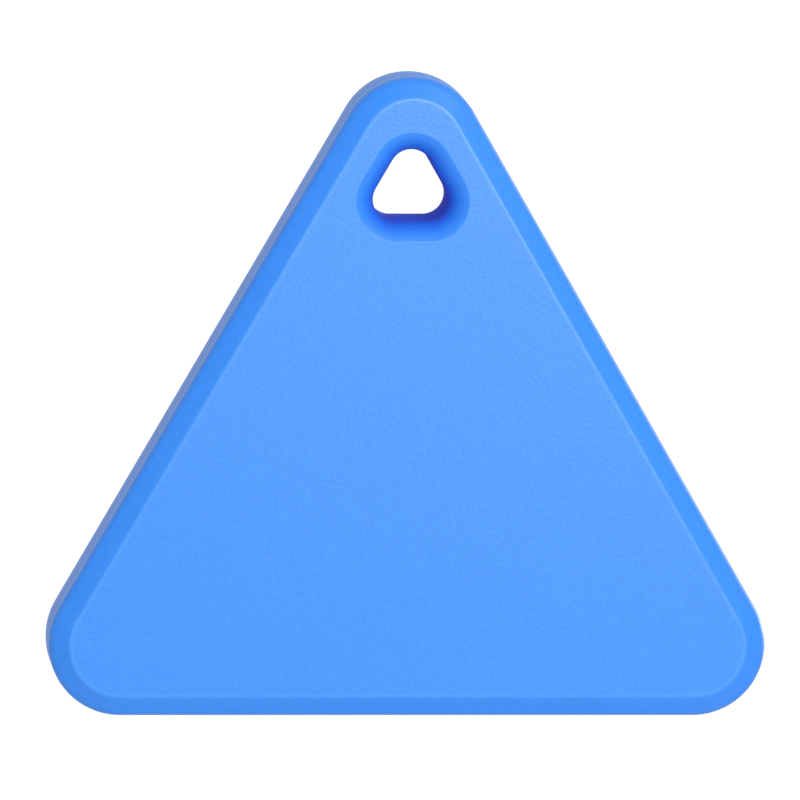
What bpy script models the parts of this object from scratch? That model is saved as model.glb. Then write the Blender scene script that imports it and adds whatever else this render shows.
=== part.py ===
"""A finder tag for a key ring: a rounded triangle of two plastic shells that snap together.

The front shell is the battery lid. The back shell carries the circuit board, the push button,
the buzzer and the light. X is the width, Y the thickness with the front at -Y, and Z is up,
with the key-ring hole at the top. The origin is under the middle of the bottom edge.
Outlines are drawn about the middle of the triangle, which is also the axis of the battery,
the button and every sliding piece.
"""

import math

import bmesh
import bpy
from mathutils import Matrix, Vector

MM = 0.001

# Case
SHARP_SIDE = 57.4 * MM  # side of the triangle before its corners are rounded
CORNER_RADIUS = 5.0 * MM
THICKNESS = 8.8 * MM
SIDE_WALL = 1.4 * MM
FACE_WALL = 1.2 * MM
RIM_WIDTH = 1.4 * MM  # bevel round the front face
RIM_DEPTH = 0.9 * MM
BACK_ROUND_WIDTH = 1.8 * MM  # elliptical round to the back face
BACK_ROUND_DEPTH = 3.1 * MM
SEAM_DEPTH = 3.6 * MM  # front face to the line where the shells meet
SEAM_GAP = 0.06 * MM
FLOOR_SLOPE = 0.8 * MM  # bevel between the inside of the side wall and the back wall

# The back shell's lip fits inside the front shell's rim
LIP_HEIGHT = 0.85 * MM
LIP_THICKNESS = 0.6 * MM
NOTCH_WIDTH = 9.0 * MM  # thumbnail notch that opens the case
NOTCH_HEIGHT = 0.7 * MM
NOTCH_DEPTH = 0.5 * MM

# Key-ring hole
HOLE_SIDE = 7.5 * MM
HOLE_CORNER_RADIUS = 1.5 * MM
HOLE_DROP = 7.92 * MM  # top of the case to the middle of the hole
FLARE_WIDTH = 1.3 * MM
FLARE_START = math.radians(25)  # slope of the flare where it leaves the face
COLLAR_WALL = 1.1 * MM

# Coin cell
BATTERY_RADIUS = 10.0 * MM
BATTERY_HEIGHT = 3.2 * MM
BATTERY_END_GAP = 0.15 * MM
CAN_SHEET = 0.25 * MM
CAP_RADIUS = 8.6 * MM
GASKET_FOOT = 0.4 * MM
CRIMP_DROP = 0.2 * MM
CRIMP_REACH = 0.55 * MM
CAN_ROUND = 0.2 * MM
FILL_GAP = 0.2 * MM
LITHIUM_THICKNESS = 0.6 * MM
SEPARATOR_THICKNESS = 0.1 * MM
HOLDER_WALL = 1.2 * MM
HOLDER_GAP = 0.3 * MM
HOLDER_HEIGHT = 2.6 * MM
HOLDER_OPENING = math.radians(56)

# Circuit board
BOARD_THICKNESS = 0.8 * MM
BOARD_EDGE_GAP = 0.3 * MM
CONTACT_SPACE = 0.35 * MM  # between the cell and the board
CONTACT_SHEET = 0.12 * MM
CONTACT_WIDTH = 4.0 * MM
BRIDGE_FOOT = 6.5 * MM
BRIDGE_SPAN = 5.0 * MM
BRIDGE_TOP = 2.5 * MM
CLIP_SHEET = 0.25 * MM
CLIP_WIDTH = 5.0 * MM
CLIP_FOOT = 3.0 * MM
CLIP_LEAN = 0.6 * MM
CLIP_TIP = 0.6 * MM
CLIP_LEAD = 0.7 * MM
BOARD_TOP_RADIUS = 1.0 * MM

# Push button and its switch
BUTTON_RADIUS = 6.0 * MM
BUTTON_GAP = 0.12 * MM
BUTTON_INSET = 0.1 * MM
BUTTON_DISH = 0.25 * MM
BUTTON_SKIN = 0.9 * MM
BUTTON_EDGE = 0.25 * MM
DISH_SHARE = 0.82  # of the button's radius
FLANGE_WIDTH = 0.8 * MM
FLANGE_THICKNESS = 0.5 * MM
BUTTON_BOSS_RADIUS = 1.6 * MM
SWITCH_SIZE = 5.2 * MM
SWITCH_BODY_HEIGHT = 0.75 * MM
SWITCH_HEIGHT = 1.25 * MM  # board to the top of the plunger
SWITCH_WELL_RADIUS = 1.75 * MM
SWITCH_FLOOR = 0.25 * MM
PLUNGER_RADIUS = 1.0 * MM
COVER_SHEET = 0.12 * MM
DOME_SHEET = 0.06 * MM
DOME_HEIGHT = 0.2 * MM
PLUNGER_STEP = 0.35 * MM
TERMINAL_LENGTH = 0.8 * MM
TERMINAL_WIDTH = 0.7 * MM
TERMINAL_SHEET = 0.12 * MM
TERMINAL_ROW = 1.85 * MM

# Buzzer
BUZZER_RADIUS = 6.0 * MM
CERAMIC_RADIUS = 4.5 * MM
BUZZER_SHEET = 0.1 * MM
BUZZER_EDGE_GAP = 0.6 * MM
BUZZER_SEAT_HEIGHT = 0.4 * MM
BUZZER_SEAT_WALL = 0.8 * MM
SOUND_HOLE_RADIUS = 0.5 * MM
SOUND_RING_RADIUS = 2.0 * MM
SOUND_RING_COUNT = 6
LEAD_RADIUS = 0.22 * MM
LEAD_REACH = 1.5 * MM
LEAD_SPREAD = 1.4 * MM
LEAD_BULGE = 0.5 * MM

# Light
LIGHT_RADIUS = 0.9 * MM
LIGHT_RIM = 0.5 * MM
LIGHT_RIM_THICKNESS = 0.3 * MM
LED_WIDTH = 1.6 * MM
LED_LENGTH = 2.0 * MM
LED_BODY_HEIGHT = 0.45 * MM
LED_LENS_HEIGHT = 0.2 * MM
LENS_SHARE = 0.7  # of the LED body's sides
LIGHT_MARGIN = 1.0 * MM  # button flange to the light pipe's rim

# Posts of the back shell that hold the board
POST_RADIUS = 1.2 * MM
PIN_RADIUS = 0.7 * MM
PIN_HOLE_RADIUS = 0.8 * MM
PIN_HEAD_HEIGHT = 0.45 * MM
POST_MARGIN = 0.5 * MM

# Small parts on the back of the board: width along X, along Z, and height
CHIP_SIZE = (5.0 * MM, 5.0 * MM, 0.85 * MM)
CRYSTAL_SIZE = (3.2 * MM, 2.5 * MM, 0.7 * MM)
INDUCTOR_SIZE = (2.0 * MM, 1.25 * MM, 0.85 * MM)
CAPACITOR_SIZE = (1.0 * MM, 0.5 * MM, 0.5 * MM)
RESISTOR_SIZE = (1.0 * MM, 0.5 * MM, 0.35 * MM)
PART_PITCH = 1.3 * MM
CAPACITOR_PITCH = 1.95 * MM
PART_BEVEL = 0.06 * MM
CHIP_SHIFT = 2.0 * MM  # from the buzzer's mirrored place
CHIP_RISE = 1.0 * MM
CAPACITOR_COUNT = 4
RESISTOR_COUNT = 3
ANTENNA_LINE = 0.5 * MM
ANTENNA_PITCH = 1.0 * MM
ANTENNA_FINGERS = 7
ANTENNA_THICKNESS = 0.06 * MM
ANTENNA_CLEARANCE = 1.0 * MM
ANTENNA_FEED = 0.8 * MM
EDGE_MARGIN = 0.9 * MM

TOUCH = 0.05 * MM  # gap between pieces that rest on each other
THROUGH = 1.0 * MM  # how far a cutter runs past what it cuts
BITE = 0.2 * MM  # how far a joined form sinks into its wall

# Flat sides of the rounded shapes
CORNER_STEPS = 8
HOLE_STEPS = 6
FLARE_STEPS = 4
ROUND_STEPS = 4
POST_STEPS = 16
HOLE_ROUND_STEPS = 12
DISC_STEPS = 32
ROUND_STEPS_LARGE = 40
DISH_STEPS = 4
DOME_STEPS = 4
LEAD_STEPS = 10

# Places that follow from the sizes
INRADIUS = SHARP_SIDE / (2 * math.sqrt(3))
CENTRE_Z = INRADIUS
TOP_Z = 3 * INRADIUS - CORNER_RADIUS
FRONT_Y = -THICKNESS / 2
BACK_Y = THICKNESS / 2
FRONT_INNER_Y = FRONT_Y + FACE_WALL
BACK_INNER_Y = BACK_Y - FACE_WALL
SEAM_Y = FRONT_Y + SEAM_DEPTH
FRONT_SEAM_Y = SEAM_Y - SEAM_GAP / 2
BACK_SEAM_Y = SEAM_Y + SEAM_GAP / 2
LIP_FRONT_Y = BACK_SEAM_Y - LIP_HEIGHT
LIP_INSET = SIDE_WALL - LIP_THICKNESS
HOLE_Z = TOP_Z - HOLE_DROP
HOLE_INRADIUS = HOLE_SIDE / (2 * math.sqrt(3))
COLLAR_BOTTOM_Z = HOLE_Z - HOLE_INRADIUS - COLLAR_WALL
BATTERY_FRONT_Y = FRONT_INNER_Y + BATTERY_END_GAP
BATTERY_BACK_Y = BATTERY_FRONT_Y + BATTERY_HEIGHT
BOARD_FRONT_Y = BATTERY_BACK_Y + CONTACT_SPACE
BOARD_BACK_Y = BOARD_FRONT_Y + BOARD_THICKNESS
PARTS_Y = BOARD_BACK_Y + TOUCH
PLUNGER_TOP_Y = BOARD_BACK_Y + SWITCH_HEIGHT
BOARD_INSET = SIDE_WALL + BOARD_EDGE_GAP
BOARD_BOTTOM_Z = BOARD_INSET
BOARD_TOP_Z = COLLAR_BOTTOM_Z - BOARD_EDGE_GAP
HOLDER_INNER = BATTERY_RADIUS + HOLDER_GAP
HOLDER_OUTER = HOLDER_INNER + HOLDER_WALL
CORNER_X = SHARP_SIDE / 2 - CORNER_RADIUS * math.sqrt(3)
FLANGE_RADIUS = BUTTON_RADIUS + FLANGE_WIDTH
BUZZER_REACH = 2 * (INRADIUS - SIDE_WALL - BUZZER_EDGE_GAP - BUZZER_RADIUS)
BUZZER_X = BUZZER_REACH * math.cos(math.radians(30))
BUZZER_Z = CENTRE_Z - BUZZER_REACH / 2
LIGHT_Z = CENTRE_Z + FLANGE_RADIUS + LIGHT_RADIUS + LIGHT_RIM + LIGHT_MARGIN
ANTENNA_REACH = ANTENNA_PITCH * (ANTENNA_FINGERS - 1) / 2
UPPER_POST_X = ANTENNA_REACH + POST_RADIUS + POST_MARGIN
UPPER_POST_Z = BOARD_TOP_Z - POST_RADIUS - POST_MARGIN
LOWER_POST_X = BUZZER_X - BUZZER_RADIUS - POST_RADIUS - POST_MARGIN
LOWER_POST_Z = BOARD_BOTTOM_Z + POST_RADIUS + BOARD_EDGE_GAP
POSTS = (
    (-CORNER_X, CORNER_RADIUS),
    (LOWER_POST_X, LOWER_POST_Z),
    (-UPPER_POST_X, UPPER_POST_Z),
    (UPPER_POST_X, UPPER_POST_Z),
)
CHIP_X = CHIP_SHIFT - BUZZER_X
CHIP_Z = BUZZER_Z + CHIP_RISE
BACKWARDS = (math.radians(-90), 0.0, 0.0)  # turns a piece's own Z to the back, +Y

SHELL_BLUE = (0.062, 0.27, 0.93)
STEEL = (0.62, 0.62, 0.6)
NICKEL = (0.72, 0.7, 0.66)
BRASS = (0.76, 0.58, 0.27)
COPPER = (0.78, 0.42, 0.26)
BLACK_PLASTIC = (0.02, 0.02, 0.022)
WHITE_PLASTIC = (0.8, 0.8, 0.78)
BOARD_GREEN = (0.01, 0.12, 0.05)
CERAMIC_WHITE = (0.78, 0.76, 0.7)
TAN_CERAMIC = (0.5, 0.35, 0.2)
FERRITE_GREY = (0.15, 0.15, 0.16)
LED_YELLOW = (0.85, 0.75, 0.3)
CLEAR_PLASTIC = (0.85, 0.88, 0.9)
LEAD_RED = (0.6, 0.03, 0.02)


def clear_scene():
    for obj in list(bpy.data.objects):
        bpy.data.objects.remove(obj)


def new_collection(name):
    made = bpy.data.collections.new(name)
    bpy.context.scene.collection.children.link(made)
    return made


clear_scene()
PARTS = new_collection("finder_tag")
CUTTERS = new_collection("cutters")


def part(name, data, colour, roughness, metallic=0.0, x=0.0, y=0.0, z=CENTRE_Z, turn=(0.0, 0.0, 0.0)):
    """One named sub-part with a material of its own."""
    obj = bpy.data.objects.new(name, data)
    obj.location = (x, y, z)
    obj.rotation_euler = turn
    PARTS.objects.link(obj)
    material = bpy.data.materials.new(name)
    material.use_nodes = True
    shader = material.node_tree.nodes["Principled BSDF"]
    shader.inputs["Base Color"].default_value = (*colour, 1.0)
    shader.inputs["Roughness"].default_value = roughness
    shader.inputs["Metallic"].default_value = metallic
    material.diffuse_color = (*colour, 1.0)
    data.materials.append(material)
    return obj


def form(name, data, x=0.0, z=CENTRE_Z, turn=(0.0, 0.0, 0.0)):
    """A helper that cuts or joins. It isn't a piece of the object."""
    obj = bpy.data.objects.new(name, data)
    obj.location = (x, 0.0, z)
    obj.rotation_euler = turn
    obj.hide_render = True
    obj.display_type = "WIRE"
    CUTTERS.objects.link(obj)
    return obj


def combine(obj, other, operation):
    modifier = obj.modifiers.new(other.name, "BOOLEAN")
    modifier.operation = operation
    modifier.solver = "EXACT"
    modifier.object = other


def cut(obj, *cutters):
    for cutter in cutters:
        combine(obj, cutter, "DIFFERENCE")


def join(obj, *forms):
    for other in forms:
        combine(obj, other, "UNION")


# Outlines: lists of (x, z) points, anticlockwise as seen from the front


def rounded(corners, radii, steps):
    """A polygon whose corners are arcs of the given radii."""
    points = []
    for number, corner in enumerate(corners):
        here = Vector(corner)
        before = (here - Vector(corners[number - 1])).normalized()
        after = (Vector(corners[(number + 1) % len(corners)]) - here).normalized()
        normal_in = Vector((before.y, -before.x))
        normal_out = Vector((after.y, -after.x))
        centre = here - (normal_in + normal_out) * radii[number] / (1 + normal_in.dot(normal_out))
        start = math.atan2(normal_in.y, normal_in.x)
        sweep = math.acos(max(-1.0, min(1.0, normal_in.dot(normal_out))))
        for step in range(steps + 1):
            angle = start + sweep * step / steps
            points.append((
                centre.x + radii[number] * math.cos(angle),
                centre.y + radii[number] * math.sin(angle),
            ))
    return points


def triangle(inradius, radius, steps):
    """An equilateral triangle about its middle, point up."""
    half = inradius * math.sqrt(3)
    corners = ((-half, -inradius), (half, -inradius), (0.0, 2 * inradius))
    return rounded(corners, (radius,) * 3, steps)


def case_outline(inset):
    return triangle(INRADIUS - inset, CORNER_RADIUS - inset, CORNER_STEPS)


def hole_outline(outset):
    rise = HOLE_Z - CENTRE_Z
    points = triangle(HOLE_INRADIUS + outset, HOLE_CORNER_RADIUS + outset, HOLE_STEPS)
    return [(x, z + rise) for x, z in points]


def circle(radius, steps, x=0.0, z=0.0):
    angles = [2 * math.pi * step / steps for step in range(steps)]
    return [(x + radius * math.cos(angle), z + radius * math.sin(angle)) for angle in angles]


def open_ring(inner, outer, opening, steps):
    """A ring with a gap of the given angle at its foot."""
    first = opening / 2 - math.pi / 2
    sweep = 2 * math.pi - opening
    angles = [first + sweep * step / steps for step in range(steps + 1)]
    outside = [(outer * math.cos(angle), outer * math.sin(angle)) for angle in angles]
    inside = [(inner * math.cos(angle), inner * math.sin(angle)) for angle in reversed(angles)]
    return outside + inside


def ribbon(path, width):
    """The outline of a band of even width along a path, with mitred bends."""
    points = [Vector(point) for point in path]
    left = []
    right = []
    for number, point in enumerate(points):
        before = (point - points[max(number - 1, 0)]).normalized()
        after = (points[min(number + 1, len(points) - 1)] - point).normalized()
        normal_in = Vector((-before.y, before.x)) if number else Vector((-after.y, after.x))
        normal_out = Vector((-after.y, after.x)) if number < len(points) - 1 else normal_in
        mitre = (normal_in + normal_out) * (width / 2) / (1 + normal_in.dot(normal_out))
        left.append(tuple(point + mitre))
        right.append(tuple(point - mitre))
    return right + left[::-1]


# Shapes


def stepped(outline, start, direction, moves):
    """A solid grown from a flat outline along Y. Each move is (inset, advance)."""
    mesh = bpy.data.meshes.new("stepped")
    work = bmesh.new()
    base = work.faces.new([work.verts.new((x, start, z)) for x, z in outline])
    cap = base
    for inset, advance in moves:
        if inset:
            bmesh.ops.inset_region(
                work, faces=[cap], thickness=inset, depth=advance, use_even_offset=True, use_boundary=True
            )
        else:
            grown = bmesh.ops.extrude_face_region(work, geom=[cap])["geom"]
            if cap is not base:
                bmesh.ops.delete(work, geom=[cap], context="FACES_ONLY")
            cap = next(item for item in grown if isinstance(item, bmesh.types.BMFace))
            bmesh.ops.translate(work, verts=cap.verts, vec=(0.0, advance * direction, 0.0))
        bmesh.ops.recalc_face_normals(work, faces=work.faces)
    work.to_mesh(mesh)
    work.free()
    return mesh


def block(size_x, size_y, size_z):
    mesh = bpy.data.meshes.new("block")
    work = bmesh.new()
    scale = Matrix.Diagonal((size_x, size_y, size_z, 1.0))
    bmesh.ops.create_cube(work, size=1.0, matrix=scale)
    work.to_mesh(mesh)
    work.free()
    return mesh


def rod(radius, start, end, steps):
    """A cylinder along Y."""
    mesh = bpy.data.meshes.new("rod")
    work = bmesh.new()
    place = Matrix.Translation((0.0, (start + end) / 2, 0.0)) @ Matrix.Rotation(math.radians(90), 4, "X")
    bmesh.ops.create_cone(
        work, cap_ends=True, segments=steps, radius1=radius, radius2=radius, depth=end - start, matrix=place
    )
    work.to_mesh(mesh)
    work.free()
    return mesh


def outline_curve(outlines, thickness):
    """A filled flat curve; a second outline is a hole."""
    curve = bpy.data.curves.new("plate", "CURVE")
    curve.dimensions = "2D"
    curve.fill_mode = "BOTH"
    curve.extrude = thickness / 2
    for outline in outlines:
        spline = curve.splines.new("POLY")
        spline.points.add(len(outline) - 1)
        for point, (x, z) in zip(spline.points, outline):
            point.co = (x, z, 0.0, 1.0)
        spline.use_cyclic_u = True
    return curve


def plate(name, outlines, low, high, colour, roughness, metallic=0.0, x=0.0, z=CENTRE_Z):
    """A flat piece that lies across Y."""
    curve = outline_curve(outlines, high - low)
    return part(
        name, curve, colour, roughness, metallic, x, (low + high) / 2, z, turn=(math.radians(90), 0.0, 0.0)
    )


def strip(name, path, sheet, width, colour, roughness, metallic):
    """A bent metal strip: the path holds (y, z) points about the middle, and the width runs along X."""
    curve = outline_curve([ribbon(path, sheet)], width)
    quarter = math.radians(90)
    return part(name, curve, colour, roughness, metallic, turn=(quarter, 0.0, quarter))


def screw(obj, steps):
    modifier = obj.modifiers.new("turn", "SCREW")
    modifier.axis = "Z"
    modifier.angle = 2 * math.pi
    modifier.steps = steps
    modifier.render_steps = steps
    modifier.use_merge_vertices = True
    modifier.merge_threshold = 0.00001
    modifier.use_smooth_shade = True


def profile_mesh(profile):
    """A turned piece's section: (radius, y) points, from the back at the outer side to the front."""
    mesh = bpy.data.meshes.new("profile")
    points = [(radius, 0.0, y) for radius, y in profile]
    edges = [(number, number + 1) for number in range(len(points) - 1)]
    if profile[0][0] > 0:
        edges.append((len(points) - 1, 0))
    mesh.from_pydata(points, edges, [])
    return mesh


def turned(name, profile, steps, colour, roughness, metallic=0.0, x=0.0, z=CENTRE_Z):
    obj = part(name, profile_mesh(profile), colour, roughness, metallic, x, 0.0, z, turn=BACKWARDS)
    screw(obj, steps)
    return obj


def turned_form(name, profile, steps, x=0.0, z=CENTRE_Z):
    obj = form(name, profile_mesh(profile), x, z, turn=BACKWARDS)
    screw(obj, steps)
    return obj


def bevelled(obj, width):
    modifier = obj.modifiers.new("edges", "BEVEL")
    modifier.width = width
    modifier.segments = 1
    modifier.limit_method = "ANGLE"


def board_part(name, size, x, z, colour, roughness, metallic=0.0):
    """A small block soldered to the back of the board."""
    width, length, height = size
    mesh = block(width, height, length)
    obj = part(name, mesh, colour, roughness, metallic, x, PARTS_Y + height / 2, z)
    bevelled(obj, PART_BEVEL)
    return obj


# The two shells


def flare_moves():
    """The convex flare of the key-ring hole, from the face into the throat, in even steps of slope."""
    radius = FLARE_WIDTH / (1 - math.sin(FLARE_START))
    turn = (math.pi / 2 - FLARE_START) / FLARE_STEPS
    slopes = [FLARE_START + turn * step for step in range(FLARE_STEPS + 1)]
    return [
        (radius * (math.sin(high) - math.sin(low)), radius * (math.cos(low) - math.cos(high)))
        for low, high in zip(slopes, slopes[1:])
    ]


def hole_form(name, face_y, direction):
    """What the key-ring hole removes, from outside one face to past the middle."""
    moves = [(0, THROUGH), *flare_moves(), (0, THICKNESS)]
    return form(name, stepped(hole_outline(FLARE_WIDTH), face_y - direction * THROUGH, direction, moves))


def collar_form(name, start, end):
    """The wall round the key-ring hole inside one shell."""
    return form(name, stepped(hole_outline(COLLAR_WALL), start, 1, [(0, end - start)]))


def front_shell():
    """The battery lid: the plain face, its bevelled rim and the front half of the key-ring hole."""
    side = FRONT_SEAM_Y - FRONT_Y - RIM_DEPTH
    body = stepped(case_outline(0.0), FRONT_SEAM_Y, -1, [(0, side), (RIM_WIDTH, RIM_DEPTH)])
    shell = part("front_shell", body, SHELL_BLUE, 0.45)
    shoulder_y = LIP_FRONT_Y - TOUCH
    rebate = LIP_INSET - TOUCH
    moves = [
        (0, FRONT_SEAM_Y + THROUGH - shoulder_y),
        (SIDE_WALL - rebate, 0.0),
        (0, shoulder_y - FRONT_INNER_Y),
    ]
    cavity = form("front_cavity", stepped(case_outline(rebate), FRONT_SEAM_Y + THROUGH, -1, moves))
    cut(cavity, collar_form("front_collar", FRONT_INNER_Y - BITE, FRONT_SEAM_Y + BITE))
    cut(shell, cavity, hole_form("front_hole", FRONT_Y, 1))


def post_profile():
    """A shoulder behind the board, a pin through it and a melted head in front."""
    shoulder_y = BOARD_BACK_Y + TOUCH
    neck_y = BOARD_FRONT_Y - TOUCH
    turns = [math.pi / 2 * step / DOME_STEPS for step in range(1, DOME_STEPS)]
    dome = [(POST_RADIUS * math.cos(turn), neck_y - PIN_HEAD_HEIGHT * math.sin(turn)) for turn in turns]
    dome.append((0.0, neck_y - PIN_HEAD_HEIGHT))
    return [
        (0.0, BACK_INNER_Y + BITE),
        (POST_RADIUS, BACK_INNER_Y + BITE),
        (POST_RADIUS, shoulder_y),
        (PIN_RADIUS, shoulder_y),
        (PIN_RADIUS, neck_y),
        (POST_RADIUS, neck_y),
        *dome,
    ]


def buzzer_seat_profile():
    outer = BUZZER_RADIUS - TOUCH
    inner = outer - BUZZER_SEAT_WALL
    front = BACK_INNER_Y - BUZZER_SEAT_HEIGHT
    back = BACK_INNER_Y + BITE
    return [(outer, back), (outer, front), (inner, front), (inner, back)]


def back_round_moves():
    """The elliptical round between the side and the back face, in even steps of angle."""
    turns = [math.pi / 2 * step / ROUND_STEPS for step in range(ROUND_STEPS + 1)]
    return [
        (
            BACK_ROUND_WIDTH * (math.cos(low) - math.cos(high)),
            BACK_ROUND_DEPTH * (math.sin(high) - math.sin(low)),
        )
        for low, high in zip(turns, turns[1:])
    ]


def back_shell():
    """The shell that carries everything, with the button, the light and the sound holes."""
    side = BACK_Y - BACK_ROUND_DEPTH - BACK_SEAM_Y
    body = stepped(case_outline(0.0), BACK_SEAM_Y, 1, [(0, side), *back_round_moves()])
    shell = part("back_shell", body, SHELL_BLUE, 0.45)
    lip = form("lip_form", stepped(case_outline(LIP_INSET), LIP_FRONT_Y, 1, [(0, LIP_HEIGHT + BITE)]))
    start = LIP_FRONT_Y - THROUGH
    moves = [(0, BACK_INNER_Y - FLOOR_SLOPE - start), (FLOOR_SLOPE, FLOOR_SLOPE)]
    cavity = form("back_cavity", stepped(case_outline(SIDE_WALL), start, 1, moves))
    cut(cavity, collar_form("back_collar", BACK_SEAM_Y, BACK_INNER_Y + BITE))
    for number, (x, z) in enumerate(POSTS, 1):
        cut(cavity, turned_form(f"post_form_{number}", post_profile(), POST_STEPS, x, z))
    cut(cavity, turned_form("buzzer_seat_form", buzzer_seat_profile(), DISC_STEPS, BUZZER_X, BUZZER_Z))
    join(shell, lip)
    cut(shell, cavity, hole_form("back_hole", BACK_Y, -1))
    inside = BACK_INNER_Y - FLOOR_SLOPE
    outside = BACK_Y + THROUGH
    cut(shell, form("button_hole", rod(BUTTON_RADIUS, inside, outside, DISC_STEPS)))
    cut(shell, form("light_hole", rod(LIGHT_RADIUS + TOUCH, inside, outside, POST_STEPS), 0.0, LIGHT_Z))
    ring = circle(SOUND_RING_RADIUS, SOUND_RING_COUNT, BUZZER_X, BUZZER_Z)
    for number, (x, z) in enumerate([(BUZZER_X, BUZZER_Z), *ring], 1):
        hole = rod(SOUND_HOLE_RADIUS, inside, outside, HOLE_ROUND_STEPS)
        cut(shell, form(f"sound_hole_{number}", hole, x, z))
    notch = form("notch_form", block(NOTCH_WIDTH, 2 * NOTCH_HEIGHT, 2 * NOTCH_DEPTH), 0.0, 0.0)
    notch.location.y = BACK_SEAM_Y
    cut(shell, notch)


# Coin cell


def battery():
    """A lithium coin cell: the can is its positive side and faces the front, the cap its negative side."""
    front = BATTERY_FRONT_Y
    back = BATTERY_BACK_Y
    can_inner = BATTERY_RADIUS - CAN_SHEET
    cup_floor = front + CAN_SHEET
    crimp_y = back - CRIMP_DROP
    turned("battery_can", [
        (0.0, cup_floor),
        (can_inner, cup_floor),
        (can_inner, crimp_y - CAN_ROUND),
        (can_inner - CRIMP_REACH, crimp_y - CAN_SHEET),
        (can_inner - CRIMP_REACH, crimp_y),
        (BATTERY_RADIUS - CAN_ROUND, crimp_y),
        (BATTERY_RADIUS, crimp_y - CAN_ROUND),
        (BATTERY_RADIUS, front + CAN_ROUND),
        (BATTERY_RADIUS - CAN_ROUND, front),
        (0.0, front),
    ], ROUND_STEPS_LARGE, STEEL, 0.28, 1.0)
    gasket_outer = can_inner - TOUCH
    gasket_inner = CAP_RADIUS + TOUCH
    gasket_back = crimp_y - CAN_SHEET - TOUCH
    foot_y = cup_floor + TOUCH
    cap_edge_y = foot_y + CAN_SHEET + TOUCH
    turned("battery_gasket", [
        (gasket_inner, gasket_back),
        (gasket_outer - CAN_ROUND, gasket_back),
        (gasket_outer, gasket_back - CAN_ROUND),
        (gasket_outer, foot_y),
        (gasket_inner - GASKET_FOOT, foot_y),
        (gasket_inner - GASKET_FOOT, foot_y + CAN_SHEET),
        (gasket_inner, foot_y + CAN_SHEET),
    ], ROUND_STEPS_LARGE, BLACK_PLASTIC, 0.6)
    lid_inner_y = back - CAN_SHEET
    turned("battery_cap", [
        (0.0, back),
        (CAP_RADIUS - CAN_ROUND, back),
        (CAP_RADIUS, back - CAN_ROUND),
        (CAP_RADIUS, cap_edge_y),
        (CAP_RADIUS - CAN_SHEET, cap_edge_y),
        (CAP_RADIUS - CAN_SHEET, lid_inner_y),
        (0.0, lid_inner_y),
    ], ROUND_STEPS_LARGE, NICKEL, 0.3, 1.0)
    fill_radius = gasket_inner - GASKET_FOOT - FILL_GAP
    disc_y = lid_inner_y - TOUCH
    separator_y = disc_y - LITHIUM_THICKNESS - TOUCH
    pellet_y = separator_y - SEPARATOR_THICKNESS - TOUCH
    disc("lithium_disc", fill_radius, disc_y - LITHIUM_THICKNESS, disc_y, STEEL, 0.5, 0.8)
    sheet_y = separator_y - SEPARATOR_THICKNESS
    disc("battery_separator", fill_radius, sheet_y, separator_y, WHITE_PLASTIC, 0.9)
    disc("cathode_pellet", fill_radius, foot_y, pellet_y, BLACK_PLASTIC, 0.9)


def disc(name, radius, front, back, colour, roughness, metallic=0.0, x=0.0, z=CENTRE_Z):
    profile = [(0.0, back), (radius, back), (radius, front), (0.0, front)]
    return turned(name, profile, DISC_STEPS, colour, roughness, metallic, x, z)


# Board, battery holder and contacts


def circuit_board():
    inradius = INRADIUS - BOARD_INSET
    half = inradius * math.sqrt(3)
    top = BOARD_TOP_Z - CENTRE_Z
    top_half = (2 * inradius - top) / math.sqrt(3)
    corners = ((-half, -inradius), (half, -inradius), (top_half, top), (-top_half, top))
    foot_radius = CORNER_RADIUS - BOARD_INSET
    outline = rounded(corners, (foot_radius, foot_radius, BOARD_TOP_RADIUS, BOARD_TOP_RADIUS), CORNER_STEPS)
    holes = [circle(PIN_HOLE_RADIUS, HOLE_ROUND_STEPS, x, z - CENTRE_Z) for x, z in POSTS]
    plate("circuit_board", [outline, *holes], BOARD_FRONT_Y, BOARD_BACK_Y, BOARD_GREEN, 0.5)


def battery_holder():
    """An open plastic ring on the front of the board. Its gap leaves room for the positive contact."""
    back = BOARD_FRONT_Y - TOUCH
    outline = open_ring(HOLDER_INNER, HOLDER_OUTER, HOLDER_OPENING, DISC_STEPS)
    plate("battery_holder", [outline], back - HOLDER_HEIGHT, back, WHITE_PLASTIC, 0.5)


def contacts():
    """Two springs soldered to the board: a clip at the can's side and a bridge under the cap."""
    board_y = BOARD_FRONT_Y - TOUCH
    foot_y = board_y - CLIP_SHEET / 2
    press_z = -BATTERY_RADIUS - 2 * TOUCH - CLIP_SHEET / 2
    strip("positive_contact", [
        (foot_y, press_z - CLIP_FOOT),
        (foot_y, press_z - CLIP_LEAN),
        (BATTERY_FRONT_Y + CLIP_TIP + CLIP_LEAD, press_z),
        (BATTERY_FRONT_Y + CLIP_TIP, press_z - CLIP_LEAN / 2),
    ], CLIP_SHEET, CLIP_WIDTH, NICKEL, 0.35, 1.0)
    low_y = board_y - CONTACT_SHEET / 2
    high_y = BATTERY_BACK_Y + TOUCH + CONTACT_SHEET / 2
    strip("negative_contact", [
        (low_y, -BRIDGE_FOOT),
        (low_y, -BRIDGE_SPAN),
        (high_y, -BRIDGE_TOP),
        (high_y, BRIDGE_TOP),
        (low_y, BRIDGE_SPAN),
        (low_y, BRIDGE_FOOT),
    ], CONTACT_SHEET, CONTACT_WIDTH, NICKEL, 0.35, 1.0)


# Button and switch


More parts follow.
